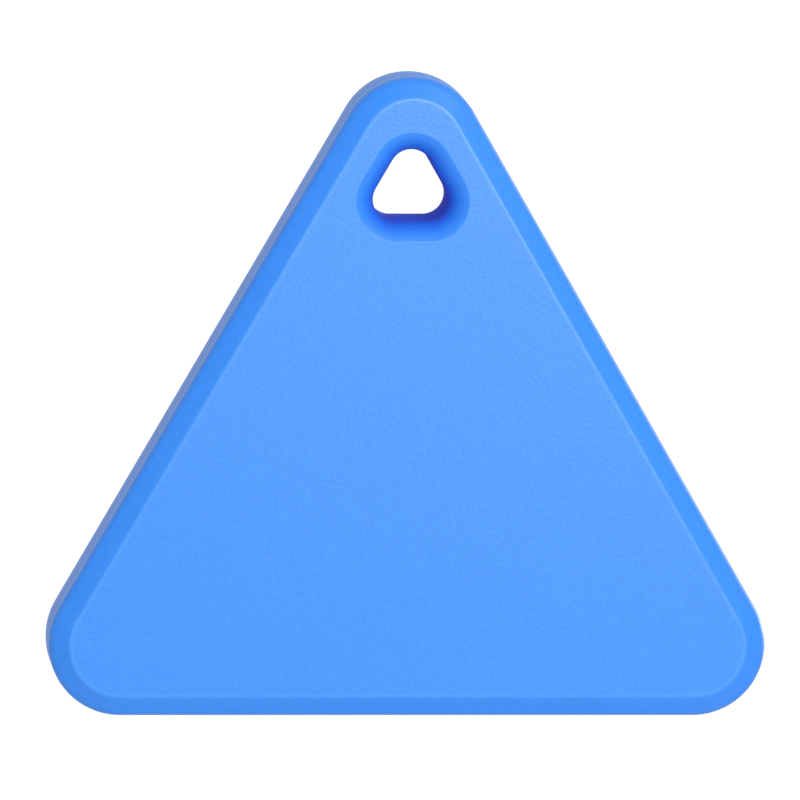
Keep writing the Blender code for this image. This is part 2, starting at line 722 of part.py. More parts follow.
def button_cap():
    """A dished disc in the back shell. Its flange keeps it in and its boss meets the switch."""
    face = BACK_Y - BUTTON_INSET
    radius = BUTTON_RADIUS - BUTTON_GAP
    dish_radius = radius * DISH_SHARE
    dish = [
        (dish_radius * step / DISH_STEPS, face - BUTTON_DISH * (1 - (step / DISH_STEPS) ** 2))
        for step in range(DISH_STEPS + 1)
    ]
    flange_back = BACK_INNER_Y - TOUCH
    flange_front = flange_back - FLANGE_THICKNESS
    ceiling = face - BUTTON_SKIN
    boss_y = PLUNGER_TOP_Y + TOUCH
    turned("button_cap", [
        *dish,
        (radius - BUTTON_EDGE, face),
        (radius, face - BUTTON_EDGE),
        (radius, flange_back),
        (FLANGE_RADIUS, flange_back),
        (FLANGE_RADIUS, flange_front),
        (radius - FLANGE_WIDTH, flange_front),
        (radius - FLANGE_WIDTH, ceiling),
        (BUTTON_BOSS_RADIUS, ceiling),
        (BUTTON_BOSS_RADIUS, boss_y),
        (0.0, boss_y),
    ], ROUND_STEPS_LARGE, SHELL_BLUE, 0.4)


def push_switch():
    """A low tact switch: a body with a well, a snap dome in it, and a plunger kept by a cover."""
    top = PARTS_Y + SWITCH_BODY_HEIGHT
    floor = PARTS_Y + SWITCH_FLOOR
    middle = (PARTS_Y + top) / 2
    case = block(SWITCH_SIZE, SWITCH_BODY_HEIGHT, SWITCH_SIZE)
    body = part("switch_body", case, BLACK_PLASTIC, 0.5, y=middle)
    well = rod(SWITCH_WELL_RADIUS, floor, top + THROUGH, DISC_STEPS)
    cut(body, form("switch_well", well))
    rim = floor + TOUCH
    dome_radius = SWITCH_WELL_RADIUS - 2 * TOUCH
    shares = [step / DOME_STEPS for step in range(DOME_STEPS + 1)]
    upper = [(dome_radius * share, rim + DOME_SHEET + DOME_HEIGHT * (1 - share**2)) for share in shares]
    lower = [(dome_radius * share, rim + DOME_HEIGHT * (1 - share**2)) for share in reversed(shares)]
    turned("switch_dome", upper + lower, POST_STEPS, STEEL, 0.25, 1.0)
    seat = rim + DOME_HEIGHT + DOME_SHEET + TOUCH
    shoulder = top - TOUCH
    turned("switch_plunger", [
        (0.0, PLUNGER_TOP_Y),
        (PLUNGER_RADIUS, PLUNGER_TOP_Y),
        (PLUNGER_RADIUS, shoulder),
        (PLUNGER_RADIUS + PLUNGER_STEP, shoulder),
        (PLUNGER_RADIUS + PLUNGER_STEP, seat),
        (0.0, seat),
    ], POST_STEPS, WHITE_PLASTIC, 0.45)
    half = SWITCH_SIZE / 2 - TOUCH
    square = [(-half, -half), (half, -half), (half, half), (-half, half)]
    hole = circle(PLUNGER_RADIUS + 2 * TOUCH, POST_STEPS)
    low = top + TOUCH
    plate("switch_cover", [square, hole], low, low + COVER_SHEET, STEEL, 0.35, 1.0)
    reach = SWITCH_SIZE / 2 + TOUCH + TERMINAL_LENGTH / 2
    places = [(side * reach, row * TERMINAL_ROW) for side in (-1, 1) for row in (-1, 1)]
    tab_y = PARTS_Y + TERMINAL_SHEET / 2
    for number, (x, z) in enumerate(places, 1):
        tab = block(TERMINAL_LENGTH, TERMINAL_SHEET, TERMINAL_WIDTH)
        part(f"switch_terminal_{number}", tab, NICKEL, 0.3, 1.0, x, tab_y, CENTRE_Z + z)


# Light


def light():
    size = (LED_WIDTH, LED_LENGTH, LED_BODY_HEIGHT)
    board_part("led_body", size, 0.0, LIGHT_Z, WHITE_PLASTIC, 0.5)
    lens_y = PARTS_Y + LED_BODY_HEIGHT + TOUCH
    lens = block(LED_WIDTH * LENS_SHARE, LED_LENS_HEIGHT, LED_LENGTH * LENS_SHARE)
    part("led_lens", lens, LED_YELLOW, 0.1, y=lens_y + LED_LENS_HEIGHT / 2, z=LIGHT_Z)
    tip = BACK_Y - TOUCH
    rim_back = BACK_INNER_Y - TOUCH
    turned("light_pipe", [
        (0.0, tip),
        (LIGHT_RADIUS, tip),
        (LIGHT_RADIUS, rim_back),
        (LIGHT_RADIUS + LIGHT_RIM, rim_back),
        (LIGHT_RADIUS + LIGHT_RIM, rim_back - LIGHT_RIM_THICKNESS),
        (LIGHT_RADIUS, rim_back - LIGHT_RIM_THICKNESS),
        (LIGHT_RADIUS, lens_y + LED_LENS_HEIGHT + TOUCH),
        (0.0, lens_y + LED_LENS_HEIGHT + TOUCH),
    ], POST_STEPS, CLEAR_PLASTIC, 0.1, z=LIGHT_Z)


# Radio and its small parts


def antenna():
    """A copper trace that runs up and down across the top of the board."""
    low = LIGHT_Z - CENTRE_Z + LED_LENGTH / 2 + ANTENNA_CLEARANCE
    high = BOARD_TOP_Z - CENTRE_Z - EDGE_MARGIN
    path = [(-ANTENNA_REACH, low - ANTENNA_FEED)]
    for finger in range(ANTENNA_FINGERS):
        x = -ANTENNA_REACH + finger * ANTENNA_PITCH
        ends = (low, high) if finger % 2 == 0 else (high, low)
        path += [(x, end) for end in ends]
    del path[1]
    outline = ribbon(path, ANTENNA_LINE)
    plate("antenna_trace", [outline], PARTS_Y, PARTS_Y + ANTENNA_THICKNESS, COPPER, 0.35, 1.0)


def radio():
    board_part("radio_chip", CHIP_SIZE, CHIP_X, CHIP_Z, BLACK_PLASTIC, 0.4)
    half = CHIP_SIZE[0] / 2
    crystal_x = CHIP_X + half + PART_PITCH + CRYSTAL_SIZE[0] / 2
    board_part("crystal", CRYSTAL_SIZE, crystal_x, CHIP_Z, STEEL, 0.25, 1.0)
    inductor_x = -LED_WIDTH / 2 - PART_PITCH - INDUCTOR_SIZE[0] / 2
    board_part("inductor", INDUCTOR_SIZE, inductor_x, LIGHT_Z, FERRITE_GREY, 0.5)
    capacitor_z = CHIP_Z - half - PART_PITCH
    for number in range(CAPACITOR_COUNT):
        x = CHIP_X - half + number * CAPACITOR_PITCH
        board_part(f"capacitor_{number + 1}", CAPACITOR_SIZE, x, capacitor_z, TAN_CERAMIC, 0.5)
    resistor_x = CHIP_X - half - PART_PITCH
    for number in range(RESISTOR_COUNT):
        z = CHIP_Z + (number - 1) * PART_PITCH
        board_part(f"resistor_{number + 1}", RESISTOR_SIZE, resistor_x, z, BLACK_PLASTIC, 0.4)


# Buzzer


def lead(name, start, end, bulge, colour):
    """An insulated wire from (x, y, z) start to end, bowed sideways."""
    curve = bpy.data.curves.new(name, "CURVE")
    curve.dimensions = "3D"
    curve.bevel_depth = LEAD_RADIUS
    curve.bevel_resolution = 2
    curve.use_fill_caps = True
    spline = curve.splines.new("POLY")
    spline.points.add(LEAD_STEPS)
    start = Vector(start)
    end = Vector(end)
    for number, point in enumerate(spline.points):
        share = number / LEAD_STEPS
        place = start.lerp(end, share)
        place.y = start.y + (end.y - start.y) * share * share * (3 - 2 * share)
        place.z += bulge * math.sin(math.pi * share)
        point.co = (*place, 1.0)
    return part(name, curve, colour, 0.4, z=0.0)


def buzzer():
    """A brass disc with a ceramic layer, glued to its seat behind the sound holes."""
    plate_back = BACK_INNER_Y - BUZZER_SEAT_HEIGHT - TOUCH
    plate_front = plate_back - BUZZER_SHEET
    ceramic_back = plate_front - TOUCH
    ceramic_front = ceramic_back - BUZZER_SHEET
    plate_size = (BUZZER_RADIUS, plate_front, plate_back)
    disc("buzzer_plate", *plate_size, BRASS, 0.3, 1.0, BUZZER_X, BUZZER_Z)
    ceramic = (CERAMIC_RADIUS, ceramic_front, ceramic_back)
    disc("buzzer_ceramic", *ceramic, CERAMIC_WHITE, 0.5, x=BUZZER_X, z=BUZZER_Z)
    gap = LEAD_RADIUS + TOUCH
    pad_x = BUZZER_X - BUZZER_RADIUS - LEAD_REACH
    pad_y = BOARD_BACK_Y + gap
    brass_x = BUZZER_X - (BUZZER_RADIUS + CERAMIC_RADIUS) / 2
    lead(
        "buzzer_lead_red",
        (BUZZER_X - CERAMIC_RADIUS / 2, ceramic_front - gap, BUZZER_Z + LEAD_SPREAD),
        (pad_x, pad_y, BUZZER_Z + LEAD_SPREAD),
        LEAD_BULGE,
        LEAD_RED,
    )
    lead(
        "buzzer_lead_black",
        (brass_x, plate_front - gap, BUZZER_Z - LEAD_SPREAD / 2),
        (pad_x, pad_y, BUZZER_Z - LEAD_SPREAD / 2),
        -LEAD_BULGE,
        BLACK_PLASTIC,
    )


front_shell()
back_shell()
battery()
circuit_board()
battery_holder()
contacts()
button_cap()
push_switch()
light()
antenna()
radio()
buzzer()
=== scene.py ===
"""The looks of a finder tag for a key ring: a rounded triangle of two blue shells round a coin cell,
a circuit board, a push button, a buzzer and a light.

Every piece is a surface worked out from a section and an outline. X is the width, Y the thickness with
the front at -Y, and Z is up. The pieces take their places from the boxes of the frame's nodes.
"""

import math

import bpy
import numpy as np
from mathutils import Matrix, Vector


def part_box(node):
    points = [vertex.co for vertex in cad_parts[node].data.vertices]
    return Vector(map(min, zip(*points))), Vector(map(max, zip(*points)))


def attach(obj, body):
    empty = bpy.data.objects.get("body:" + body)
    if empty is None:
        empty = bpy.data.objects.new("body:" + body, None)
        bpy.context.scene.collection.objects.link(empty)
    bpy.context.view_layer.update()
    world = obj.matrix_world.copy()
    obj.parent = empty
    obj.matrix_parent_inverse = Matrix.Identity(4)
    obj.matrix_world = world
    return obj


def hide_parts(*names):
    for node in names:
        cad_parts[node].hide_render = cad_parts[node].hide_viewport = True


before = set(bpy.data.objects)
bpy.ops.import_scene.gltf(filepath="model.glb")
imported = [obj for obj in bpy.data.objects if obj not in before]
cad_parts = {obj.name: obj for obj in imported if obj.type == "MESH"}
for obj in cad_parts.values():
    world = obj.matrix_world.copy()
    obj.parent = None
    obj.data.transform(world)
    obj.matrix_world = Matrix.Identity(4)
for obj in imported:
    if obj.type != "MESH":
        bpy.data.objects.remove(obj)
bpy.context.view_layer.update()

MM = 0.001

# Shells
CORNER_RADIUS = 5.0 * MM
SIDE_WALL = 1.4 * MM
FACE_WALL = 1.2 * MM
RIM_WIDTH = 1.4 * MM  # bevel round the front face
RIM_DEPTH = 0.9 * MM
BACK_ROUND_WIDTH = 1.8 * MM
BACK_ROUND_DEPTH = 3.1 * MM
FLOOR_SLOPE = 0.8 * MM
REBATE_INSET = 0.75 * MM
REBATE_DEPTH = 0.84 * MM
LIP_INSET = 0.8 * MM
SEAM_GAP = 0.06 * MM
HOLE_SIDE = 7.5 * MM
HOLE_CORNER_RADIUS = 1.5 * MM
HOLE_DROP = 7.92 * MM  # top of the case to the middle of the hole
FLARE_WIDTH = 1.3 * MM
FLARE_START = math.radians(25)  # slope of the flare where it leaves the face
COLLAR_WALL = 1.1 * MM
SPAN = 12.0 * MM  # from the rim, 0, to the hole along a section
NEAR_RIM = 2.7 * MM
NEAR_HOLE = 1.7 * MM

# Features of the back shell
NOTCH_WIDTH = 9.0 * MM
NOTCH_HEIGHT = 0.7 * MM
NOTCH_DEPTH = 0.5 * MM
POST_RADIUS = 1.2 * MM
PIN_RADIUS = 0.7 * MM
PIN_HEAD_HEIGHT = 0.45 * MM
BUTTON_RADIUS = 6.0 * MM
BUZZER_SEAT_HEIGHT = 0.4 * MM
BUZZER_SEAT_WALL = 0.8 * MM
SOUND_HOLE_RADIUS = 0.5 * MM
SOUND_RING_RADIUS = 2.0 * MM
SOUND_RING_COUNT = 6
LIGHT_RADIUS = 0.9 * MM
TOUCH = 0.05 * MM
BITE = 0.2 * MM

# Roundings
CREASE_ROUND = 0.4 * MM
SIDE_ROUND = 0.8 * MM
FLARE_ROUND = 0.2 * MM
HIGHLIGHT_WIDTH = 0.16 * MM  # how far the painted highlight spreads from the crease
SEAM_ROUND = 0.06 * MM
LIP_ROUND = 0.05 * MM
INNER_ROUND = 0.35 * MM
HOLE_EDGE_ROUND = 0.15 * MM
SUPPORT = 0.03 * MM  # a row this far past each rounding keeps the flats flat
FINE_SUPPORT = 0.005 * MM  # the same, on the smallest pieces
ROUND_STEPS = 5
ARC_STEPS = 14
TURN_STEPS = 96
SHARP_ANGLE = math.radians(38)  # edges sharper than this are drawn sharp

# Colours, linear
BLUE_DARK = (0.005, 0.143, 0.53)
BLUE_LIGHT = (0.017, 0.193, 0.72)
# Painted highlight: a paler blue mixed in along the crease round the front face.
HIGHLIGHT_BLUE = (0.03, 0.20, 0.64)
# Painted shade: a deeper blue mixed in deeper down the hole.
BORE_SHADE_BLUE = (0.002, 0.05, 0.60)
HIGHLIGHT_SHARE = 0.8
BORE_SHADE_SHARE = 0.9
FACE_ROUGHNESS = 0.42
HIGHLIGHT_BAND_ROUGHNESS = 0.35
BORE_ROUGHNESS = 0.9


# Outlines: points and outward normals in the plane of the face


def rounded(corners, radii, corner_steps=8, side_steps=1):
    """An anticlockwise polygon whose corners are arcs.

    An arc's centre is the corner moved along the sum of its two sides' normals by radius / (1 + cos turn),
    inwards at a bulging corner and outwards at a hollow one. Its points are the centre plus radius times
    the normal as the normal swings from one side's to the next. Straight sides may carry even points.
    """
    corners = np.asarray(corners, float)
    radii = np.broadcast_to(np.asarray(radii, float), len(corners))
    ahead = np.roll(corners, -1, 0) - corners
    ahead /= np.linalg.norm(ahead, axis=1, keepdims=True)
    leaving = np.stack([ahead[:, 1], -ahead[:, 0]], 1)
    coming = np.roll(leaving, 1, 0)
    start = np.arctan2(coming[:, 1], coming[:, 0])
    turn = np.arctan2(leaving[:, 1], leaving[:, 0]) - start
    turn = (turn + math.pi) % (2 * math.pi) - math.pi
    sign = np.sign(turn)
    reach = sign * radii / (1 + (coming * leaving).sum(1))
    centres = corners - (coming + leaving) * reach[:, None]
    angles = start[:, None] + turn[:, None] * np.linspace(0, 1, corner_steps + 1)
    normals = np.stack([np.cos(angles), np.sin(angles)], -1)
    points = centres[:, None] + (sign * radii)[:, None, None] * normals
    if side_steps > 1:
        share = np.linspace(0, 1, side_steps + 1)[1:-1, None]
        first = points[:, -1:]
        sides = first + share * (np.roll(points[:, :1], -1, 0) - first)
        points = np.concatenate([points, sides], 1)
        normals = np.concatenate([normals, np.broadcast_to(leaving[:, None], sides.shape)], 1)
    return points.reshape(-1, 2), normals.reshape(-1, 2)


def triangle_corners(inradius):
    """The corners of an upright triangle round the origin, anticlockwise."""
    angles = np.radians([-150.0, -30.0, 90.0])
    return 2 * inradius * np.stack([np.cos(angles), np.sin(angles)], 1)


def ring_outline(radius, steps, x=0.0, z=0.0):
    """A circle: the centre plus radius times the unit vector at even angles."""
    angles = np.linspace(0, 2 * math.pi, steps, endpoint=False)
    normals = np.stack([np.cos(angles), np.sin(angles)], 1)
    return np.array([x, z]) + radius * normals, normals


def ray_outline(origin, inradius, radius, angles):
    """Where rays from origin meet a rounded triangle round (0, 0), and the normals there.

    A ray meets the nearest side line at (inradius - N.o) / (N.u). Past the straight part of that side it
    meets the corner's circle instead, at the larger root of |o + t u - c| = radius.
    """
    rays = np.stack([np.cos(angles), np.sin(angles)], 1)
    side_angles = np.radians([-90.0, 30.0, 150.0])
    sides = np.stack([np.cos(side_angles), np.sin(side_angles)], 1)
    rate = np.maximum(rays @ sides.T, 1e-9)
    reach = (inradius - sides @ origin) / rate
    points = origin + rays * reach.min(1)[:, None]
    normals = sides[reach.argmin(1)]
    tangents = np.stack([-normals[:, 1], normals[:, 0]], 1)
    along = (points * tangents).sum(1)
    half = (inradius - radius) * math.sqrt(3)
    centres = normals * (inradius - radius) + tangents * (np.sign(along) * half)[:, None]
    offset = origin - centres
    middle = -(rays * offset).sum(1)
    root = np.sqrt(np.maximum(middle**2 - (offset**2).sum(1) + radius**2, 0))
    bent = origin + rays * (middle + root)[:, None]
    corner = (np.abs(along) > half)[:, None]
    return np.where(corner, bent, points), np.where(corner, (bent - centres) / radius, normals)


def arc_band(inner, outer, start, stop, steps):
    """A band along an arc with half-round ends.

    It runs along the outer arc, round a half circle, back along the inner arc and round a half circle.
    """
    half = (outer - inner) / 2
    middle = (outer + inner) / 2
    start += half / middle
    stop -= half / middle
    sweep = np.linspace(start, stop, steps)
    swing = np.linspace(0, math.pi, ARC_STEPS)[1:-1]
    angles = np.concatenate([sweep, stop + swing, sweep[::-1] + math.pi, start + math.pi + swing])
    still = np.ones(len(swing))
    centre_angles = np.concatenate([sweep, stop * still, sweep[::-1], start * still])
    normals = np.stack([np.cos(angles), np.sin(angles)], 1)
    centres = middle * np.stack([np.cos(centre_angles), np.sin(centre_angles)], 1)
    return centres + half * normals, normals


def strip(path, half, low, high, axis="y"):
    """A flat bar along a path: at each point a rectangle, half wide to each side, from low to high."""
    path = np.asarray(path, float)
    along = np.gradient(path, axis=0)
    along /= np.linalg.norm(along, axis=1, keepdims=True)
    side = half * np.stack([along[:, 1], -along[:, 0]], 1)
    flat = np.stack([path + side, path + side, path - side, path - side], 1)
    level = np.broadcast_to([low, high, high, low], flat.shape[:2])
    order = {"y": (flat[..., 0], level, flat[..., 1]), "x": (level, flat[..., 0], flat[..., 1])}
    return skin(np.stack(order[axis], -1))


# Sections: paths of (distance, level) points


def section(corners, closed=True, support=SUPPORT, steps=ROUND_STEPS):
    """A path whose corners give way to arcs that touch both their sides.

    Each corner is (distance, level, radius). The arc starts and ends radius / tan(half angle) from the
    corner and turns about a centre on the bisector, radius / sin(half angle) away. One more point
    stands just before and just after the arc. A corner without a radius stays a point.
    """
    values = np.asarray(corners, float)
    places = values[:, :2]
    made = []
    for number, (place, radius) in enumerate(zip(places, values[:, 2])):
        ends = not closed and number in (0, len(places) - 1)
        if radius == 0 or ends:
            made.append(place[None])
            continue
        back = places[number - 1] - place
        ahead = places[(number + 1) % len(places)] - place
        back /= np.linalg.norm(back)
        ahead /= np.linalg.norm(ahead)
        half = math.acos(np.clip(back @ ahead, -1, 1)) / 2
        reach = radius / math.tan(half)
        centre = place + (back + ahead) / np.linalg.norm(back + ahead) * radius / math.sin(half)
        turn = math.pi - 2 * half
        share = np.linspace(0, 1, steps + 1)[:, None]
        first = place + back * reach - centre
        last = place + ahead * reach - centre
        arc = centre + (np.sin((1 - share) * turn) * first + np.sin(share * turn) * last) / math.sin(turn)
        before = place + back * (reach + support)
        after = place + ahead * (reach + support)
        made.append(np.concatenate([before[None], arc, after[None]]))
    return np.concatenate(made)


def flare(face, direction):
    """The flare from the face into the hole: a circular arc whose slope runs from FLARE_START to upright.

    Its radius is FLARE_WIDTH / (1 - sin FLARE_START), so it ends exactly on the hole's wall.
    """
    radius = FLARE_WIDTH / (1 - math.sin(FLARE_START))
    slopes = np.linspace(FLARE_START, math.pi / 2, ARC_STEPS)
    across = SPAN - radius * (1 - np.sin(slopes))
    level = face + direction * radius * (math.cos(FLARE_START) - np.cos(slopes))
    return np.stack([across, level, np.zeros(ARC_STEPS)], 1)[1:].tolist()


# Surfaces: grids of points, closed into solids


def stacked(outline, path, axis="y"):
    """Copies of an outline, each moved inwards along its normals and set at its level along the axis."""
    points, normals = outline
    distance, level = np.asarray(path, float).T
    flat = points - distance[:, None, None] * normals
    level = np.broadcast_to(level[:, None], flat.shape[:2])
    order = {"y": (flat[..., 0], level, flat[..., 1]), "x": (level, flat[..., 0], flat[..., 1])}
    return np.stack(order[axis], -1)


def spun(path, x, z, steps=TURN_STEPS):
    """A (radius, level) path turned about the Y axis through (x, z)."""
    radius, level = np.asarray(path, float).T
    return stacked(ring_outline(0.0, steps, x, z), np.stack([-radius, level], 1))


def across_case(outer, hole, path):
    """A section carried round the case between its outline and the hole's.

    The distance runs from 0 at the rim to SPAN at the hole. Near the rim it is measured inwards from the
    outline, near the hole outwards from the hole, and between the two it is a share of a straight line.
    """
    distance, level = np.asarray(path, float).T
    from_rim = np.minimum(distance, NEAR_RIM)[:, None, None]
    from_hole = np.minimum(SPAN - distance, NEAR_HOLE)[:, None, None]
    share = np.clip((distance - NEAR_RIM) / (SPAN - NEAR_HOLE - NEAR_RIM), 0, 1)[:, None, None]
    rim = outer[0] - from_rim * outer[1]
    edge = hole[0] + from_hole * hole[1]
    flat = (1 - share) * rim + share * edge
    level = np.broadcast_to(level[:, None], flat.shape[:2])
    return np.stack([flat[..., 0], level, flat[..., 1]], -1)


def swept(path, radius, steps=20):
    """A round tube along a path: each point plus radius times a unit vector square to the path.

    The first square direction is the path's tangent crossed with Z, and the second is square to both.
    """
    path = np.asarray(path, float)
    along = np.gradient(path, axis=0)
    along /= np.linalg.norm(along, axis=1, keepdims=True)
    first = np.cross(along, (0.0, 0.0, 1.0))
    first /= np.linalg.norm(first, axis=1, keepdims=True)
    second = np.cross(along, first)
    angles = np.linspace(0, 2 * math.pi, steps, endpoint=False)[:, None]
    radius = np.broadcast_to(radius, len(path))[:, None, None]
    return path[:, None] + radius * (np.cos(angles) * first[:, None] + np.sin(angles) * second[:, None])


def skin(grid, ring=False):
    """The points and faces over a grid whose columns close on themselves.

    Where ring is set the rows close too. Otherwise the first and last rows are each filled by one flat
    face, which the weld in solid_mesh drops where the row is a single point. A solid's volume is a sixth
    of the sum of its triangles' determinants, and the faces turn round where that is negative.
    """
    rows, columns = grid.shape[:2]
    index = np.arange(rows * columns).reshape(rows, columns)
    low = index if ring else index[:-1]
    high = np.roll(index, -1, 0) if ring else index[1:]
    quads = np.stack([low, np.roll(low, -1, 1), np.roll(high, -1, 1), high], -1).reshape(-1, 4)
    points = grid.reshape(-1, 3)
    a, b, c, d = (points[quads[:, corner]] for corner in range(4))
    volume = (np.cross(a, b) * c).sum() + (np.cross(a, c) * d).sum()
    faces = quads.tolist()
    if not ring:
        faces.append(index[0, ::-1].tolist())
        faces.append(index[-1].tolist())
        for row, sign in ((index[0], -1), (index[-1], 1)):
            centre = points[row].mean(0)
            edge = points[np.roll(row, -1)]
            volume += sign * (np.cross(centre, points[row]) * edge).sum()
    if volume < 0:
        faces = [face[::-1] for face in faces]
    return points, faces


def merge(*solids):
    """Several solids as one list of points and faces."""
    points = []
    faces = []
    count = 0
    for solid_points, solid_faces in solids:
        points.append(solid_points)
        faces += [[corner + count for corner in face] for face in solid_faces]
        count += len(solid_points)
    return np.concatenate(points), faces


def solid_mesh(name, solid, marks=None):
    """A mesh of the solid, with its marks as values on its points. Points that coincide become one."""
    points, faces = solid
    mesh = bpy.data.meshes.new(name)
    mesh.from_pydata(points, [], faces)
    for mark, values in (marks or {}).items():
        mesh.attributes.new(mark, "FLOAT", "POINT").data.foreach_set("value", values)
    welded = bpy.data.objects.new(name, mesh)
    bpy.context.scene.collection.objects.link(welded)
    weld = welded.modifiers.new("weld", "WELD")
    weld.merge_threshold = 1e-7
    return welded


def applied(piece):
    """Puts the piece's modifiers into its mesh."""
    bpy.context.view_layer.update()
    graph = bpy.context.evaluated_depsgraph_get()
    mesh = bpy.data.meshes.new_from_object(piece.evaluated_get(graph))
    old = piece.data
    piece.modifiers.clear()
    piece.data = mesh
    mesh.name = piece.name
    bpy.data.meshes.remove(old)
    return piece


def combined(piece, tool_solid, operation):
    """Cuts the tool out of the piece, or joins it on. The cut is made in millimetres, where it is exact."""
    tool = applied(solid_mesh("tool", tool_solid))
    tool.data.transform(Matrix.Scale(1 / MM, 4))
    piece.data.transform(Matrix.Scale(1 / MM, 4))
    modifier = piece.modifiers.new("combine", "BOOLEAN")
    modifier.solver = "MANIFOLD"
    modifier.operation = operation
    modifier.object = tool
    applied(piece)
    piece.data.transform(Matrix.Scale(MM, 4))
    bpy.data.objects.remove(tool)
    return piece


def finished(piece, body, material, replaced=(), flat_normals=False):
    """Shades a piece, gives it its finish, and fixes it to the frame."""
    piece.data.shade_smooth()
    piece.data.set_sharp_from_angle(angle=SHARP_ANGLE)
    if flat_normals:
        weights = piece.modifiers.new("face weights", "WEIGHTED_NORMAL")
        weights.keep_sharp = True
    piece.data.materials.clear()
    piece.data.materials.append(material)
    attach(piece, body)
    if replaced:
        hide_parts(*replaced)
    return piece


def piece_of(name, solid, body, material, replaced=()):
    return finished(applied(solid_mesh(name, solid)), body, material, replaced)


def cut(piece, tool_solid):
    """Cuts the tool out of a finished piece and marks its new edges."""
    combined(piece, tool_solid, "DIFFERENCE")
    piece.data.set_sharp_from_angle(angle=SHARP_ANGLE)


# Finishes


def finish_nodes(name):
    material = bpy.data.materials.new(name)
    material.use_nodes = True
    tree = material.node_tree
    return material, tree, tree.nodes["Principled BSDF"]


def ranged(tree, value, low, high):
    """A 0 to 1 value spread between low and high."""
    node = tree.nodes.new("ShaderNodeMapRange")
    node.inputs["To Min"].default_value = low
    node.inputs["To Max"].default_value = high
    tree.links.new(value, node.inputs["Value"])
    return node.outputs["Result"]


def noise(tree, coordinates, size, detail=2.0, rough=0.55):
    """Noise whose blobs are about size across."""
    node = tree.nodes.new("ShaderNodeTexNoise")
    node.inputs["Scale"].default_value = 1 / size
    node.inputs["Detail"].default_value = detail
    node.inputs["Roughness"].default_value = rough
    tree.links.new(coordinates, node.inputs["Vector"])
    return node.outputs["Fac"]


def maths(tree, operation, *values):
    """A sum, product or other operation on values, each a number or the output of a node."""
    node = tree.nodes.new("ShaderNodeMath")
    node.operation = operation
    for socket, value in zip(node.inputs, values):
        if isinstance(value, (int, float)):
            socket.default_value = value
        else:
            tree.links.new(value, socket)
    return node.outputs[0]


def scaled(tree, value, factor):
    return maths(tree, "MULTIPLY", value, factor)


def mixed(tree, share, first, second):
    """first and second blended by share. Each is a colour or the output of a node."""
    node = tree.nodes.new("ShaderNodeMix")
    node.data_type = "RGBA"
    tree.links.new(share, node.inputs["Factor"])
    for name, value in (("A", first), ("B", second)):
        socket = next(socket for socket in node.inputs if socket.name == name and socket.type == "RGBA")
        if isinstance(value, tuple):
            socket.default_value = value
        else:
            tree.links.new(value, socket)
    return next(socket for socket in node.outputs if socket.type == "RGBA")


def mixed_value(tree, share, first, second):
    """The value first, turning into the number second as share goes from 0 to 1."""
    node = tree.nodes.new("ShaderNodeMix")
    tree.links.new(share, node.inputs["Factor"])
    tree.links.new(first, node.inputs["A"])
    node.inputs["B"].default_value = second
    return node.outputs["Result"]


def moulded(name, dark, light, roughness, grain, depth, broad=9.0, metallic=0.0, stretch=(1.0, 1.0, 1.0)):
    """A grained finish: colour drifts slowly, and roughness and height follow the fine grain.

    grain is the size of the grain and depth its height, in metres. Stretching the grain along an axis
    makes brush marks.
    """
    material, tree, shader = finish_nodes(name)
    where = tree.nodes.new("ShaderNodeTexCoord")
    mapping = tree.nodes.new("ShaderNodeMapping")
    mapping.inputs["Scale"].default_value = stretch
    tree.links.new(where.outputs["Object"], mapping.inputs["Vector"])
    fine = noise(tree, mapping.outputs["Vector"], grain, 3.0)
    slow = noise(tree, where.outputs["Object"], grain * broad, 2.0)
    blend = maths(tree, "MULTIPLY_ADD", slow, 0.5, scaled(tree, fine, 0.5))
    ramp = tree.nodes.new("ShaderNodeValToRGB")
    ramp.color_ramp.elements[0].position = 0.3
    ramp.color_ramp.elements[0].color = (*dark, 1.0)
    ramp.color_ramp.elements[1].position = 0.7
    ramp.color_ramp.elements[1].color = (*light, 1.0)
    tree.links.new(blend, ramp.inputs["Fac"])
    tree.links.new(ramp.outputs["Color"], shader.inputs["Base Color"])
    tree.links.new(ranged(tree, fine, roughness - 0.06, roughness + 0.06), shader.inputs["Roughness"])
    bump = tree.nodes.new("ShaderNodeBump")
    bump.inputs["Distance"].default_value = depth
    tree.links.new(fine, bump.inputs["Height"])
    tree.links.new(bump.outputs["Normal"], shader.inputs["Normal"])
    shader.inputs["Metallic"].default_value = metallic
    return material


